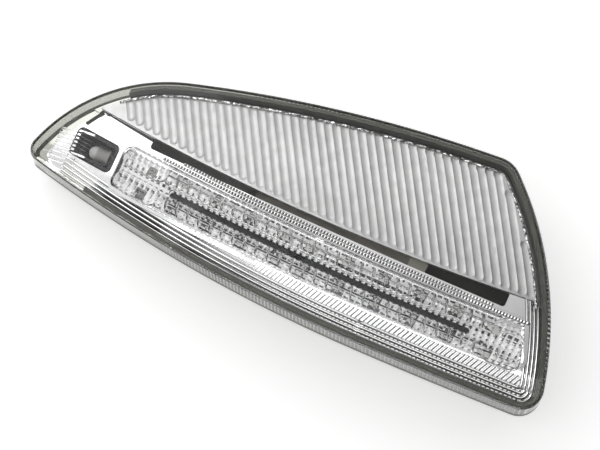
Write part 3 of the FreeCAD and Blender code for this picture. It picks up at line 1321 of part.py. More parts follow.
def make_screw():
    """A turned screw with a cross in its head; its head sits on the plane z = 0."""
    body = doc.addObject("PartDesign::Body", "Screw")
    shank = "Sizes.screw_radius"
    head = "Sizes.screw_head"
    foot = "-Sizes.screw_length"
    top = "Sizes.screw_head_height"
    turned(body, "ScrewTurned", (("0", foot), (shank, foot), (shank, "0"), (head, "0"), (head, top), ("0", top)))
    reach = "Sizes.cross_share * Sizes.screw_head"
    half = "Sizes.cross_width / 2"
    corners = (("-" + reach, "-" + half), (reach, "-" + half), (reach, half), ("-" + reach, half))
    sketch = profile(body, "CrossProfile", corners, FreeCAD.Placement())
    sketch.setExpression("Placement.Base.z", "Sizes.screw_head_height")
    pocket = body.newObject("PartDesign::Pocket", "CrossSlot")
    pocket.Profile = sketch
    pocket.setExpression("Length", "Sizes.cross_depth")
    cross = body.newObject("PartDesign::PolarPattern", "CrossPattern")
    cross.Originals = [pocket]
    cross.Axis = (sketch, ["N_Axis"])
    cross.Angle = 180
    cross.Occurrences = 2
    body.Tip = cross
    return body


def make_screws():
    screw = make_screw()
    group("BoardScrews", screw, board_screw_seats(), "board_screws")
    group("BezelScrews", screw, bezel_screw_seats(), "bezel_screws")


def make_vent():
    """The membrane under the vent hole, and the cap that clips round the collar."""
    def disc(name, radius, height, foot):
        return upright_cylinder(name, "-Sizes.vent_x", "Sizes.vent_y", radius, height, foot)

    node(disc("VentMembrane", "Sizes.vent_bore + Sizes.membrane_rim", "Sizes.membrane_wall",
              VENT_FOOT + " - Sizes.membrane_wall"), "vent_membrane")
    fit = "Sizes.vent_radius + Sizes.screw_clear"
    room = "(Sizes.membrane_wall + Sizes.cap_room)"
    outer = disc("CapOutside", fit + " + Sizes.cap_wall", "Sizes.cap_skirt + %s + Sizes.cap_wall" % room,
                 "%s - %s - Sizes.cap_wall" % (VENT_FOOT, room))
    inner = disc("CapMouth", fit, "Sizes.blank_height", VENT_FOOT)
    foot = "%s - %s" % (VENT_FOOT, room)
    space = disc("CapSpace", "Sizes.vent_bore + Sizes.cap_shelf", "Sizes.blank_height", foot)
    reach = "(%s + 2 * Sizes.cap_wall)" % fit
    slots = [box("CapSlotX", "2 * " + reach, "Sizes.cap_slot", "Sizes.cap_slot_height",
                 "-Sizes.vent_x - " + reach, "Sizes.vent_y - Sizes.cap_slot / 2", foot),
             box("CapSlotY", "Sizes.cap_slot", "2 * " + reach, "Sizes.cap_slot_height",
                 "-Sizes.vent_x - Sizes.cap_slot / 2", "Sizes.vent_y - " + reach, foot)]
    node(cut("VentCap", outer, fuse("CapHollows", inner, space, *slots)), "vent_cap")


optic_core = feature("OpticCore", bar_band(-s.optic_tip_x + s.optic_corner, s.optic_wide_x - s.optic_corner,
                                           -s.optic_low + s.optic_corner, s.optic_high - s.optic_corner))
tray_core = feature("TrayCore", bar_band(-s.tray_tip_x + s.tray_corner, -s.tray_wide_x - s.tray_corner,
                                         -s.tray_low + s.tray_corner, s.tray_high - s.tray_corner))
split_middle = (s.row_high - s.row_low) / 2
split_core = feature("SplitCore", bar_band(-s.split_tip_x + s.split_half, s.split_wide_x - s.split_half,
                                           split_middle - 0.1, split_middle + 0.1))
slot_core = feature("SlotCore", slot_outline())

make_outer_lens()
make_lens_bead()
make_rear_housing()
make_fluted_panel()
make_trough_bezel()
make_twin_bar_optic()
make_bar_reflector()
make_tip_reflector()
make_tip_lamp()
make_lamp_leads()
make_lamp_holder()
make_tip_board()
make_diode_board("TipDiodeBoard", "led_board_tip", TIP_FRAME)
make_diode_board("WideDiodeBoard", "led_board_wide", WIDE_FRAME)
make_bar_diodes()
make_driver_board()
make_driver_chip()
make_driver_parts()
make_board_links()
make_flex()
make_connector_pins()
make_screws()
make_vent()

doc.recompute()
for item in doc.Objects:
    if "Invalid" in item.State or "Error" in item.State:
        raise RuntimeError("%s did not build: %s" % (item.Name, item.State))
os.makedirs("parts", exist_ok=True)
for item in NODES:
    if item.Shape.isNull() or not item.Shape.isValid():
        raise RuntimeError("%s has no valid shape" % item.Label)
    item.Shape.exportStep("parts/%s.step" % item.Label)
    print("%-20s solids %3d  volume %10.2f" % (item.Label, len(item.Shape.Solids), item.Shape.Volume))
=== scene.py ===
import math
import random

import bpy
from mathutils import Matrix, Vector


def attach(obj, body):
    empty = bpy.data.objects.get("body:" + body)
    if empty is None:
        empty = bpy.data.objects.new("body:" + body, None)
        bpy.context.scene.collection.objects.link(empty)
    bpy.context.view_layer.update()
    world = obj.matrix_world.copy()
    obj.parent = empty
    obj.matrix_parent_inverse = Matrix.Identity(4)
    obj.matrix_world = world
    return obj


MM = 0.001

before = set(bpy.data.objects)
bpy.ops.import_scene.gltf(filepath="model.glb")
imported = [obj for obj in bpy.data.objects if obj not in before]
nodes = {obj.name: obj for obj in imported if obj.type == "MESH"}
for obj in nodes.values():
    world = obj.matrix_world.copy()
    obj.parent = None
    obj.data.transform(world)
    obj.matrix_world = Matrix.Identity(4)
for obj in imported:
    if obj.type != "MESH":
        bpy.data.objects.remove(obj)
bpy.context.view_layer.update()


# Shape of the lamp in millimetres, as the part has it

APEX = Vector((30, 14, 46))
LENGTH_RADIUS = 400
WIDTH_RADIUS = 130

# The bow of the bars and the bow of the panel's lower border
BAR_BEND = 740
BAR_X = 35
PANEL_LOW = 11.05
PANEL_BEND = 547
PANEL_X = 17
PANEL_END = Vector((88.5, 14.5))

# The outline's arcs
BELLY = Vector((30, -24.2))
BELLY_TIP_RADIUS = 470
BELLY_WIDE_RADIUS = 950
LOW_CORNER = 8
HIGH_CORNER = 9.5
TOP_LEFT = Vector((-61.7, 40.4))
TOP_RIGHT = Vector((49.5, 58.6))
TOP_RADIUS = 767
SHOULDER_RADIUS = 62.3
SIDE_HIGH = Vector((64.9, 50.6))
SIDE_LOW = Vector((97.3, -10.1))
SIDE_RADIUS = 141

# The bezel's stepped edge
BEZEL_INSET = 3.2
BEZEL_LEVEL = 5.6
STEP_WIDTH = 1.4
STEP_DROP = 0.75
STEP_COUNT = 4

# Trim pieces stand this far into the surface that carries them
SUNK = 0.02


# Curves in the plan


def front_z(x, y, level):
    """Height of the front's offset surface over a place in the plan."""
    tube = math.sqrt((WIDTH_RADIUS - level) ** 2 - (y - APEX.y) ** 2)
    ring = LENGTH_RADIUS - WIDTH_RADIUS + tube
    return APEX.z - LENGTH_RADIUS + math.sqrt(ring ** 2 - (x - APEX.x) ** 2)


def bar_y(x, across):
    """The bow that the bars follow, at a distance across from its middle."""
    return BAR_BEND - math.sqrt((BAR_BEND - across) ** 2 - (x - BAR_X) ** 2)


def circles_meet(centre_a, radius_a, centre_b, radius_b, near):
    """The meeting point of two circles that is nearer to a place."""
    gap = centre_b - centre_a
    along = (radius_a ** 2 - radius_b ** 2 + gap.length ** 2) / (2 * gap.length)
    across = math.sqrt(radius_a ** 2 - along ** 2)
    unit = gap.normalized()
    foot = centre_a + unit * along
    side = Vector((-unit.y, unit.x)) * across
    return min((foot + side, foot - side), key=lambda place: (place - near).length)


SIDE_BEND = circles_meet(SIDE_LOW, SIDE_RADIUS, SIDE_HIGH, SIDE_RADIUS, Vector((0, 14)))
TOP_BEND = circles_meet(TOP_LEFT, TOP_RADIUS, TOP_RIGHT, TOP_RADIUS, Vector((50, -700)))


def heading(centre, place):
    """The angle at which a place lies from a centre."""
    return math.atan2(*(place - centre).yx)


def arc(centre, radius, first, last, inset, step):
    """The points of an arc, moved inward, with their inward directions."""
    count = max(2, int(abs(last - first) * radius / step))
    path = []
    for index in range(count + 1):
        turn = first + (last - first) * index / count
        outward = Vector((math.cos(turn), math.sin(turn)))
        path.append((centre + outward * (radius - inset), -outward))
    return path


def lower_edge(inset, step, reach):
    """The lamp's bottom edge, from an angle towards the tip, and its wide end."""
    down = -math.pi / 2
    tip_bend = BELLY + Vector((0, BELLY_TIP_RADIUS))
    wide_bend = BELLY + Vector((0, BELLY_WIDE_RADIUS))
    wide_radius = BELLY_WIDE_RADIUS - LOW_CORNER
    corner = circles_meet(wide_bend, wide_radius, SIDE_BEND, SIDE_RADIUS - LOW_CORNER, SIDE_LOW)
    corner_start = heading(wide_bend, corner)
    corner_end = heading(SIDE_BEND, corner)
    side_end = heading(SIDE_BEND, SIDE_HIGH)
    return (arc(tip_bend, BELLY_TIP_RADIUS, down - reach, down, inset, step)
            + arc(wide_bend, BELLY_WIDE_RADIUS, down, corner_start, inset, step)
            + arc(corner, LOW_CORNER, corner_start, corner_end, inset, step / 2)
            + arc(SIDE_BEND, SIDE_RADIUS, corner_end, side_end, inset, step))


def upper_edge(inset, step, reach):
    """The lamp's top edge, from an angle towards the tip, and its wide end beside the panel."""
    shoulder = TOP_LEFT + (TOP_BEND - TOP_LEFT).normalized() * SHOULDER_RADIUS
    top_radius = TOP_RADIUS - HIGH_CORNER
    corner = circles_meet(TOP_BEND, top_radius, SIDE_BEND, SIDE_RADIUS - HIGH_CORNER, SIDE_HIGH)
    start = heading(TOP_BEND, TOP_LEFT)
    corner_start = heading(TOP_BEND, corner)
    corner_end = heading(SIDE_BEND, corner)
    side_end = heading(SIDE_BEND, PANEL_END)
    return (arc(shoulder, SHOULDER_RADIUS, start + reach, start, inset, step)
            + arc(TOP_BEND, TOP_RADIUS, start, corner_start, inset, step)
            + arc(corner, HIGH_CORNER, corner_start, corner_end, inset, step)
            + arc(SIDE_BEND, SIDE_RADIUS, corner_end, side_end, inset, step))


def panel_border(x):
    """A place on the panel's lower border, with the direction out of the panel."""
    run = x - PANEL_X
    depth = math.sqrt(PANEL_BEND ** 2 - run ** 2)
    place = Vector((x, PANEL_LOW + PANEL_BEND - depth))
    return place, Vector((run / depth, -1)).normalized()


# Nodes of the materials


def feed(tree, socket, value):
    """Links a socket to another node's output, or sets it to a constant."""
    if isinstance(value, bpy.types.NodeSocket):
        tree.links.new(value, socket)
    else:
        socket.default_value = value


def add_node(tree, kind, inputs, **settings):
    node = tree.nodes.new("ShaderNode" + kind)
    for key, value in settings.items():
        setattr(node, key, value)
    for key, value in inputs.items():
        feed(tree, node.inputs[key], value)
    return node


def coordinates(tree, stretch=(1, 1, 1), turn=0.0):
    """Object coordinates in metres, turned about the upright axis and stretched per axis."""
    place = add_node(tree, "TexCoord", {})
    turned = add_node(tree, "Mapping", {"Vector": place.outputs["Object"], "Rotation": (0, 0, turn)})
    return add_node(tree, "Mapping", {"Vector": turned.outputs["Vector"], "Scale": stretch}).outputs["Vector"]


def noise(tree, vector, scale, detail=3.0):
    return add_node(tree, "TexNoise", {"Vector": vector, "Scale": scale, "Detail": detail}).outputs["Fac"]


# The wave texture's scale for ridges one unit apart
WAVE_SCALE = 0.314


def waves(tree, vector, pitch):
    """Ridges across the vector's first axis, their spacing in millimetres."""
    inputs = {"Vector": vector, "Scale": WAVE_SCALE / (pitch * MM), "Distortion": 0.0}
    return add_node(tree, "TexWave", inputs, wave_type="BANDS", bands_direction="X").outputs["Fac"]


def from_bend(tree):
    """Object coordinates taken from the middle of the bars' bow, without their height."""
    bend = (BAR_X * MM, BAR_BEND * MM, 0)
    moved = add_node(tree, "VectorMath", {0: coordinates(tree), 1: bend}, operation="SUBTRACT")
    flat = add_node(tree, "VectorMath", {0: moved.outputs["Vector"], 1: (1, 1, 0)}, operation="MULTIPLY")
    return flat.outputs["Vector"]


def bow_rings(tree, pitch):
    """Ridges that follow the bars' bow, their spacing in millimetres."""
    inputs = {"Vector": from_bend(tree), "Scale": WAVE_SCALE / (pitch * MM)}
    return add_node(tree, "TexWave", inputs, wave_type="RINGS", rings_direction="Z").outputs["Fac"]


def ramp(tree, value, stops):
    node = add_node(tree, "ValToRGB", {"Fac": value})
    elements = node.color_ramp.elements
    while len(elements) < len(stops):
        elements.new(0.5)
    for element, (position, colour) in zip(elements, stops):
        element.position = position
        element.color = (*colour, 1)
    return node.outputs["Color"]


def spread_out(tree, value, start, end, low=0.0, high=1.0):
    """Goes from the low to the high result while a value goes from start to end."""
    inputs = {"Value": value, "From Min": start, "From Max": end, "To Min": low, "To Max": high}
    return add_node(tree, "MapRange", inputs).outputs["Result"]


def past_x(tree, start, end):
    """Goes from 0 to 1 between two places along the length, in millimetres."""
    split = add_node(tree, "SeparateXYZ", {"Vector": coordinates(tree)})
    return spread_out(tree, split.outputs["X"], start * MM, end * MM)


def below_bow(tree, start, end):
    """Goes from 0 to 1 between two distances below the bars' bow, in millimetres."""
    reach = add_node(tree, "VectorMath", {0: from_bend(tree)}, operation="LENGTH")
    return spread_out(tree, reach.outputs["Value"], (BAR_BEND + start) * MM, (BAR_BEND + end) * MM)


def product(tree, first, *others):
    for other in others:
        first = add_node(tree, "Math", {0: first, 1: other}, operation="MULTIPLY").outputs["Value"]
    return first


def mix_colours(tree, factor, first, second, mode):
    inputs = {"Factor": factor, "A": first, "B": second}
    return add_node(tree, "Mix", inputs, data_type="RGBA", blend_type=mode).outputs["Result"]


def shader_of(made):
    return made.node_tree.nodes["Principled BSDF"]


def relief(made, value, height):
    """Relief of a height in millimetres; a second call adds its relief to the first."""
    tree = made.node_tree
    normal = shader_of(made).inputs["Normal"]
    inputs = {"Height": value, "Strength": 1.0, "Distance": height * MM}
    if normal.is_linked:
        inputs["Normal"] = normal.links[0].from_socket
    feed(tree, normal, add_node(tree, "Bump", inputs).outputs["Normal"])


def recolour(made, factor, colour, mode="MIX"):
    """Lays another colour over a material's own where the factor is 1."""
    tree = made.node_tree
    base = shader_of(made).inputs["Base Color"]
    feed(tree, base, mix_colours(tree, factor, base.links[0].from_socket, colour, mode))


def glow(made, colour, strength):
    feed(made.node_tree, shader_of(made).inputs["Emission Color"], colour)
    shader_of(made).inputs["Emission Strength"].default_value = strength


# Materials

WHITE = (1, 1, 1)
BLACK = (0.02, 0.02, 0.022)

# How much finer the grain is than the clouds of colour, and how much of the noise each uses
GRAIN_SHARE = 15
CLOUD_LOW = 0.35
CLOUD_HIGH = 0.65
GRAIN_LOW = 0.3
GRAIN_HIGH = 0.7

# Ridges in the materials: how far they lean, and their spacing in millimetres
HATCH_LEAN = math.radians(28)
OPTIC_LEAN = math.radians(15)
RIB_LEAN = math.radians(90)
LENS_HATCH = 1.25
BEZEL_HATCH = 1.4
HALF_CELL = 2.3
# spacing of the tray's painted dark dashes
TRAY_PAINTED_DASH = 1.9
OPTIC_GROOVE = 1.4
REFLECTOR_RIB = 1.45

# Where a material changes: places along the length, or distances below the bars' bow
LENS_HATCH_X = (-50, 10)
BEZEL_HATCH_X = (-40, 10)
BEZEL_HATCH_BELOW = (12.3, 12.6)
# painted dark reflection on the bezel's steps: its band below the bow and its reach along the length
PAINTED_DARK_REFLECTION_BELOW = (13.4, 13.8)
PAINTED_DARK_REFLECTION_WIDE_X = (0, -35)
PAINTED_DARK_REFLECTION_TIP_X = (-80, -72)
# painted shade on the tip reflector behind the lamp
REFLECTOR_PAINTED_SHADE_X = (-85.8, -85)
# painted shade on the diodes under the round ends of the bars
PAINTED_SHADE_LOBES_X = (-55, -56)
# painted highlight on the tip lamp's dome
PAINTED_HIGHLIGHT_DOME_X = (-81.5, -82.2)

# The lens's side wall, by how much its faces look up; the wall carries painted grey shade
WALL_UPRIGHT = (0.45, 0.25)


def material(name, colour, rough, grain=900.0, tint=0.06, spread=0.04, depth=0.02,
             stretch=(1, 1, 1), **sockets):
    """A surface with fine grain in its colour, roughness and relief."""
    made = bpy.data.materials.new(name)
    made.use_nodes = True
    tree = made.node_tree
    shader = shader_of(made)
    for key, value in sockets.items():
        shader.inputs[key.replace("_", " ")].default_value = value
    vector = coordinates(tree, stretch)
    fine = noise(tree, vector, grain)
    broad = noise(tree, vector, grain / GRAIN_SHARE)
    dark = tuple(max(0.0, part * (1 - tint)) for part in colour)
    light = tuple(min(1.0, part * (1 + tint)) for part in colour)
    feed(tree, shader.inputs["Base Color"], ramp(tree, broad, [(CLOUD_LOW, dark), (CLOUD_HIGH, light)]))
    least = max(0.0, rough - spread)
    roughness = spread_out(tree, fine, GRAIN_LOW, GRAIN_HIGH, least, rough + spread)
    feed(tree, shader.inputs["Roughness"], roughness)
    relief(made, fine, depth)
    return made


def clear(name, colour, rough, ior, depth, grain):
    return material(name, colour, rough, grain=grain, tint=0.01, spread=0.008, depth=depth, IOR=ior,
                    Transmission_Weight=1.0)


def bright(name, colour, rough, spread=0.04, metal=1.0):
    """A polished metal face."""
    return material(name, colour, rough, grain=500, spread=spread, depth=0.001, Metallic=metal)


def hatched_lens():
    """Clear, with painted grey shade on its side wall, where the clear plastic is seen edge-on, and fine
    slanting ridges round its wide part.
    """
    made = clear("lens_clear", (0.995, 0.995, 0.998), 0.01, 1.49, depth=0.001, grain=120)
    tree = made.node_tree
    shader_of(made).inputs["Specular Tint"].default_value = (0.35, 0.35, 0.35, 1)
    facing = add_node(tree, "SeparateXYZ", {"Vector": add_node(tree, "TexCoord", {}).outputs["Normal"]})
    upright = add_node(tree, "Math", {0: facing.outputs["Z"]}, operation="ABSOLUTE").outputs["Value"]
    wall = spread_out(tree, upright, *WALL_UPRIGHT)
    wide_wall = product(tree, wall, past_x(tree, *LENS_HATCH_X))
    ridges = waves(tree, coordinates(tree, turn=HATCH_LEAN), LENS_HATCH)
    relief(made, product(tree, ridges, wide_wall), 0.5)
    # painted shade: the side wall greyed, as clear plastic looks when seen edge-on
    recolour(made, wall, (0.62, 0.63, 0.57, 1))
    recolour(made, wide_wall, ramp(tree, ridges, [(0.35, (0.32, 0.33, 0.28)), (0.6, (0.98, 0.98, 0.97))]))
    return made


def tray_painted_shade_and_glow():
    """Bright, with painted dark dashes that follow the bars' bow, standing for shade seen through the optic's
    cells, and a painted glow.
    """
    made = bright("tray_painted_shade_glow", (0.95, 0.95, 0.945), 0.15, metal=0.45)
    tree = made.node_tree
    bands = waves(tree, coordinates(tree), HALF_CELL)
    painted_dashes = ramp(tree, product(tree, bow_rings(tree, TRAY_PAINTED_DASH), bands), [(0.4, WHITE), (0.55, BLACK)])
    # painted shade: dark dashes multiplied over the tray
    recolour(made, 1.0, painted_dashes, "MULTIPLY")
    # painted light: the tray glows, though it is no lamp
    glow(made, painted_dashes, 0.3)
    relief(made, bands, 0.3)
    return made


def cut_optic():
    """Clear, with fine ridges across its cells and along them."""
    made = clear("optic_clear", (0.995, 0.995, 0.995), 0.02, 1.6, depth=0.01, grain=700)
    tree = made.node_tree
    relief(made, waves(tree, coordinates(tree, turn=OPTIC_LEAN), HALF_CELL), 0.12)
    relief(made, bow_rings(tree, OPTIC_GROOVE), 0.06)
    return made


def hatched_chrome():
    """Bright, with slanting ridges below the wide part of the bars and a painted dark reflection on its steps
    towards the tip.
    """
    made = bright("bezel_chrome", (0.9, 0.9, 0.9), 0.08, spread=0.03)
    tree = made.node_tree
    ridges = waves(tree, coordinates(tree, turn=HATCH_LEAN), BEZEL_HATCH)
    hatched = product(tree, ridges, below_bow(tree, *BEZEL_HATCH_BELOW), past_x(tree, *BEZEL_HATCH_X))
    relief(made, hatched, 0.15)
    # painted reflection: black over the chrome steps towards the tip, standing for dark surroundings seen in
    # them
    tipward_painted_reflection = product(tree, past_x(tree, *PAINTED_DARK_REFLECTION_WIDE_X), past_x(tree, *PAINTED_DARK_REFLECTION_TIP_X))
    recolour(made, product(tree, below_bow(tree, *PAINTED_DARK_REFLECTION_BELOW), tipward_painted_reflection), (*BLACK, 1))
    return made


def reflector_painted_ribs_and_shade():
    """Ribbed and bright at its outer end, with painted dark shade in the grooves of its ribs and painted dark
    shade behind the lamp.
    """
    made = bright("reflector_chrome_painted_shade", (0.86, 0.865, 0.86), 0.1)
    tree = made.node_tree
    ribs = waves(tree, coordinates(tree, turn=RIB_LEAN), REFLECTOR_RIB)
    # painted shade: black and white stripes at the ribs' spacing darken their grooves
    recolour(made, 1.0, ramp(tree, ribs, [(0.4, (0.02, 0.02, 0.02)), (0.6, WHITE)]), "MULTIPLY")
    # painted shade: the chrome made dark behind the lamp
    recolour(made, past_x(tree, *REFLECTOR_PAINTED_SHADE_X), (0.03, 0.03, 0.032, 1))
    return made


def diodes_painted_shade_and_glow():
    """Pale cases, with painted dark shade on the ones under the round ends of the bars, and a faint painted
    glow in the cases' own pale colour.
    """
    made = material("diode_case_painted_shade_glow", (0.92, 0.91, 0.87), 0.3, grain=1500)
    # painted shade: the same diodes made dark under the round ends of the bars
    recolour(made, past_x(made.node_tree, *PAINTED_SHADE_LOBES_X), (0.02, 0.02, 0.02, 1))
    # painted light: a faint glow in the cases' own pale colour
    glow(made, (0.95, 0.94, 0.9, 1), 0.12)
    return made


def resin_painted_highlight():
    """A greyish body with a painted white highlight over its dome."""
    made = material("diode_resin_painted_highlight", (0.6, 0.59, 0.55), 0.08, Transmission_Weight=0.25)
    # painted highlight: the dome end made white
    recolour(made, past_x(made.node_tree, *PAINTED_HIGHLIGHT_DOME_X), (1.0, 1.0, 0.98, 1))
    return made


def sparkle_painted_flecks():
    """Bright metal with painted dark flecks that make it sparkle."""
    made = bright("edge_painted_sparkle", (0.88, 0.88, 0.875), 0.08)
    tree = made.node_tree
    painted_flecks = noise(tree, coordinates(tree), 1500, detail=1.0)
    # painted reflection: dark flecks over the bright metal stand for sparkle
    recolour(made, 1.0, ramp(tree, painted_flecks, [(0.4, (0.08, 0.08, 0.075)), (0.52, WHITE)]), "MULTIPLY")
    return made


TRIM = bright("bezel_trim", (0.93, 0.93, 0.925), 0.06, spread=0.02)
# painted sparkle for the panel's cord
PAINTED_SPARKLE_FINISH = sparkle_painted_flecks()
# painted shadow: dark finish for the strip in the gap between the bezel's blade and the panel
SHADOW_STRIP = material("shadow_strip_dark", (0.02, 0.02, 0.02), 0.5, grain=2000)
TIN = material("tinned", (0.72, 0.71, 0.68), 0.28, Metallic=1.0)
BOARD = material("board_black", (0.02, 0.02, 0.022), 0.32, grain=600)
BLACKED = material("metal_blacked", (0.05, 0.05, 0.052), 0.35, Metallic=0.6)

FINISHES = {
    "outer_lens": hatched_lens(),
    "lens_bead": material("bead_weld", (0.30, 0.30, 0.26), 0.45, Transmission_Weight=0.3),
    "rear_housing": material("housing_grain", (0.15, 0.15, 0.125), 0.5, grain=2500, depth=0.03),
    "fluted_panel": material("panel_satin", (0.79, 0.79, 0.785), 0.45, grain=3500, depth=0.004, Metallic=1.0),
    "trough_bezel": hatched_chrome(),
    "twin_bar_optic": cut_optic(),
    "bar_reflector": tray_painted_shade_and_glow(),
    "tip_reflector": reflector_painted_ribs_and_shade(),
    "tip_lamp": resin_painted_highlight(),
    "tip_lamp_leads": TIN,
    "tip_lamp_holder": material("holder_black", (0.03, 0.03, 0.03), 0.3),
    "tip_board": BOARD,
    "led_board_tip": BOARD,
    "led_board_wide": BOARD,
    "bar_leds": diodes_painted_shade_and_glow(),
    "driver_board": material("board_green", (0.03, 0.16, 0.07), 0.35, grain=600),
    "driver_chip": material("chip_case", (0.03, 0.03, 0.032), 0.5, grain=3000),
    "driver_resistors": material("ceramic", (0.06, 0.06, 0.065), 0.3),
    "driver_capacitors": material("can_drawn", (0.72, 0.73, 0.74), 0.25, stretch=(1, 1, 12), Metallic=1.0),
    "board_links": BLACKED,
    "flex_jumper": material("ribbon_film", (0.2, 0.185, 0.15), 0.35, stretch=(1, 12, 1), tint=0.2),
    "flex_plug": material("plug_moulded", (0.5, 0.49, 0.4), 0.45),
    "connector_pins": TIN,
    "board_screws": BLACKED,
    "bezel_screws": material("screw_zinc", (0.62, 0.62, 0.6), 0.3, Metallic=1.0),
    "vent_membrane": material("membrane_film", (0.85, 0.85, 0.84), 0.7, depth=0.05),
    "vent_cap": material("cap_moulded", (0.04, 0.04, 0.04), 0.5, grain=2500),
}
for node_name, finish in FINISHES.items():
    for slot in nodes[node_name].material_slots:
        slot.material = finish


# Trim pieces on the bezel and the panel


def sheet(name, rows, level, finish, smooth=True):
    """A piece over the front, from rows of places in the plan with their heights above a level."""
    points = [Vector((x, y, front_z(x, y, level) + height)) * MM for row in rows for x, y, height in row]
    width = len(rows[0])
    faces = []
    for row in range(len(rows) - 1):
        for column in range(width - 1):
            start = row * width + column
            faces.append((start, start + 1, start + width + 1, start + width))
    mesh = bpy.data.meshes.new(name)
    mesh.from_pydata(points, [], faces)
    mesh.update()
    for polygon in mesh.polygons:
        polygon.use_smooth = smooth
    mesh.materials.append(finish)
    piece = bpy.data.objects.new(name, mesh)
    bpy.context.scene.collection.objects.link(piece)
    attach(piece, "root")


def half_round(width, height, sides):
    """Offsets and heights across a half-round section."""
    turns = [math.pi * index / (sides - 1) for index in range(sides)]
    return [(width / 2 * math.cos(turn), height * math.sin(turn)) for turn in turns]


def laid_across(place, inward, section):
    """A section's places in the plan, laid across a path at one of its points."""
    row = []
    for offset, height in section:
        spot = place + inward * offset
        row.append((spot.x, spot.y, height))
    return row


CREST_SHARE = 0.86
CREST_HEIGHT = 0.5
CREST_REACH = math.radians(15.2)


def step_crest(number):
    """The rounded crest of one of the bezel's steps, along the bottom edge and the wide end."""
    path = lower_edge(BEZEL_INSET + (number - 0.5) * STEP_WIDTH, 1.5, CREST_REACH)
    section = half_round(STEP_WIDTH * CREST_SHARE, CREST_HEIGHT, 9)
    level = BEZEL_LEVEL + (STEP_COUNT + 1 - number) * STEP_DROP
    rows = [laid_across(place, inward, section) for place, inward in path]
    sheet("bezel_crest_%d" % number, rows, level, TRIM)


for step_number in range(1, STEP_COUNT + 1):
    step_crest(step_number)


CORD_INSET = 5.0
CORD_WIDTH = 1.1
CORD_HEIGHT = 0.8
CORD_LEAST = 0.6
CORD_REACH = math.radians(24)
PANEL_LEVEL = 5.0

rng = random.Random(7)


def panel_cord():
    """The cord of uneven facets between the fluted panel and the dark rim, with painted sparkle."""
    rows = []
    for place, inward in upper_edge(CORD_INSET, 0.9, CORD_REACH):
        section = half_round(CORD_WIDTH, CORD_HEIGHT, 6)
        uneven = [(offset, height * rng.uniform(CORD_LEAST, 1.0)) for offset, height in section]
        rows.append(laid_across(place, inward, uneven))
    sheet("panel_cord", rows, PANEL_LEVEL - SUNK, PAINTED_SPARKLE_FINISH, smooth=False)


panel_cord()


RIB_PITCH = 1.15
RIB_HEIGHT = 0.45
RIB_FOOT = 0.05
RIB_EDGE = 0.3
RIB_SIDES = 5


def frame_ribs(name, low, high, start, end):
    """Cross ribs on the bezel's face above the upper bar, along the bars' bow."""
    count = int((end - start) / (RIB_PITCH / 2))
    rows = []
    for step in range(count + 1):
        x = start + (end - start) * step / count
        crest = RIB_HEIGHT if step % 2 else RIB_FOOT
        row = []
        for index in range(RIB_SIDES):
            y = bar_y(x, low + (high - low) * index / (RIB_SIDES - 1))
            edge = RIB_EDGE if index in (0, RIB_SIDES - 1) else 1.0
            row.append((x, y, crest * edge))
        rows.append(row)
    sheet(name, rows, BEZEL_LEVEL - SUNK, TRIM, smooth=False)


frame_ribs("frame_ribs_low", 4.7, 5.9, -58, 84)
frame_ribs("frame_ribs_high", 6.2, 7.3, -50, 70)


# painted shadow strip in the gap between the bezel's blade and the panel
SHADOW_STRIP_START = -86.5
SHADOW_STRIP_LENGTH = 23.0
SHADOW_STRIP_STEPS = 40
SHADOW_STRIP_WIDTH = 0.5
SHADOW_STRIP_WIDENS = 0.8
SHADOW_STRIP_GAP = 0.35
SHADOW_STRIP_HEIGHT = 0.25


def blade_shadow_strip():
    """A dark strip between the bezel's blade and the panel, wider towards the slot: painted shadow along the
    gap.
    """
    rows = []
    for step in range(SHADOW_STRIP_STEPS + 1):
        share = step / SHADOW_STRIP_STEPS
        place, outward = panel_border(SHADOW_STRIP_START + SHADOW_STRIP_LENGTH * share)
        width = SHADOW_STRIP_WIDTH + SHADOW_STRIP_WIDENS * share
        arch = half_round(width, SHADOW_STRIP_HEIGHT, 7)
        section = [(SHADOW_STRIP_GAP + width / 2 - offset, height) for offset, height in arch]
        rows.append(laid_across(place, outward, section))
    # painted shadow: the dark strip laid in the gap
    sheet("blade_shadow_strip", rows, BEZEL_LEVEL - SUNK, SHADOW_STRIP)


blade_shadow_strip()


# Floor, light and camera

FLOOR_HALF = 1.5


def pale_floor():
    mesh = bpy.data.meshes.new("floor")
    corners = [(-1, -1), (1, -1), (1, 1), (-1, 1)]
    mesh.from_pydata([(x * FLOOR_HALF, y * FLOOR_HALF, 0) for x, y in corners], [], [(0, 1, 2, 3)])
    finish = material("floor_pale", (0.9, 0.9, 0.9), 0.6, grain=60, tint=0.01)
    glow(finish, (1, 1, 1, 1), 0.5)
    mesh.materials.append(finish)
    floor = bpy.data.objects.new("floor", mesh)
    floor.location.z = -0.02 * MM
    bpy.context.scene.collection.objects.link(floor)


def softbox(name, place, aim, size, brightness):
    """A rectangular light that shows its brightness in reflections."""
    light = bpy.data.lights.new(name, "AREA")
    light.shape = "RECTANGLE"
    light.size, light.size_y = size
    light.energy = brightness * math.pi * size[0] * size[1]
    box = bpy.data.objects.new(name, light)
    box.location = place
    box.rotation_euler = (Vector(aim) - Vector(place)).to_track_quat("-Z", "Y").to_euler()
    bpy.context.scene.collection.objects.link(box)


def grey(value):
    return (value, value, value)


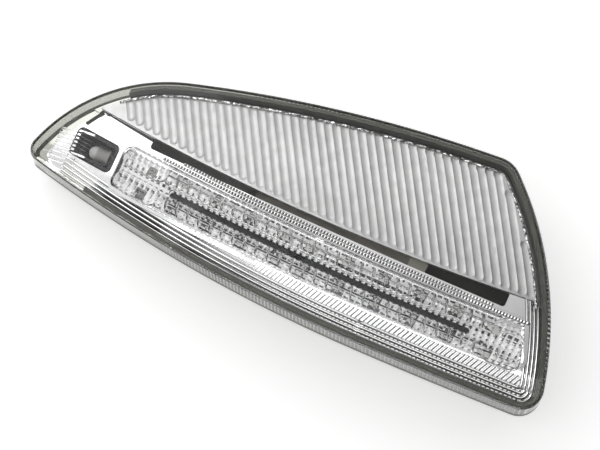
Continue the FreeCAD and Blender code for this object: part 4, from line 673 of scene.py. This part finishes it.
BRIGHT_SIDE = Vector((-0.8, 0.35, 0.35)).normalized()
SIDE_TONES = [(0.35, grey(0.05)), (0.55, grey(0.45)), (0.72, grey(0.78)), (0.92, grey(0.85))]
HEIGHT_TONES = [(0.0, grey(0.35)), (0.25, grey(0.6)), (0.5, WHITE), (1.0, WHITE)]


def studio():
    """A room that is bright overhead and on one side, dark and low on the other."""
    world = bpy.data.worlds.new("studio")
    world.use_nodes = True
    tree = world.node_tree
    direction = add_node(tree, "TexCoord", {}).outputs["Generated"]
    toward = add_node(tree, "VectorMath", {0: direction, 1: BRIGHT_SIDE}, operation="DOT_PRODUCT")
    aside = ramp(tree, spread_out(tree, toward.outputs["Value"], -1.0, 1.0), SIDE_TONES)
    height = add_node(tree, "SeparateXYZ", {"Vector": direction}).outputs["Z"]
    upward = ramp(tree, height, HEIGHT_TONES)
    tones = mix_colours(tree, 1.0, aside, upward, "MULTIPLY")
    feed(tree, tree.nodes["Background"].inputs["Color"], tones)
    bpy.context.scene.world = world


TURN = math.radians(24)
TILT = math.radians(75)
DISTANCE = 0.9
AIM = Vector((-2.2, 4.9, 46)) * MM
PICTURE_WIDTH = 600
PIXELS_PER_MM = 2.88
SENSOR = 36


def photo_camera():
    """The camera at the photo's angle and scale."""
    right = Vector((math.cos(TURN), math.sin(TURN), 0))
    back = Vector((math.sin(TURN) * math.cos(TILT), -math.cos(TURN) * math.cos(TILT), math.sin(TILT)))
    up = back.cross(right)
    data = bpy.data.cameras.new("camera")
    data.sensor_width = SENSOR
    data.lens = SENSOR * DISTANCE / (PICTURE_WIDTH / PIXELS_PER_MM * MM)
    camera = bpy.data.objects.new("camera", data)
    turned = Matrix((right, up, back)).transposed().to_4x4()
    camera.matrix_world = Matrix.Translation(AIM + back * DISTANCE) @ turned
    bpy.context.scene.collection.objects.link(camera)
    bpy.context.scene.camera = camera


pale_floor()
softbox("softbox_tip", (-0.62, 0.32, 0.75), (-0.03, 0.01, 0.03), (0.65, 0.65), 0.95)
softbox("softbox_strip", (0.0, -0.24, 1.1), (0, 0, 0.03), (1.4, 0.12), 2.6)
studio()
photo_camera()
bpy.context.scene.view_settings.view_transform = "Standard"
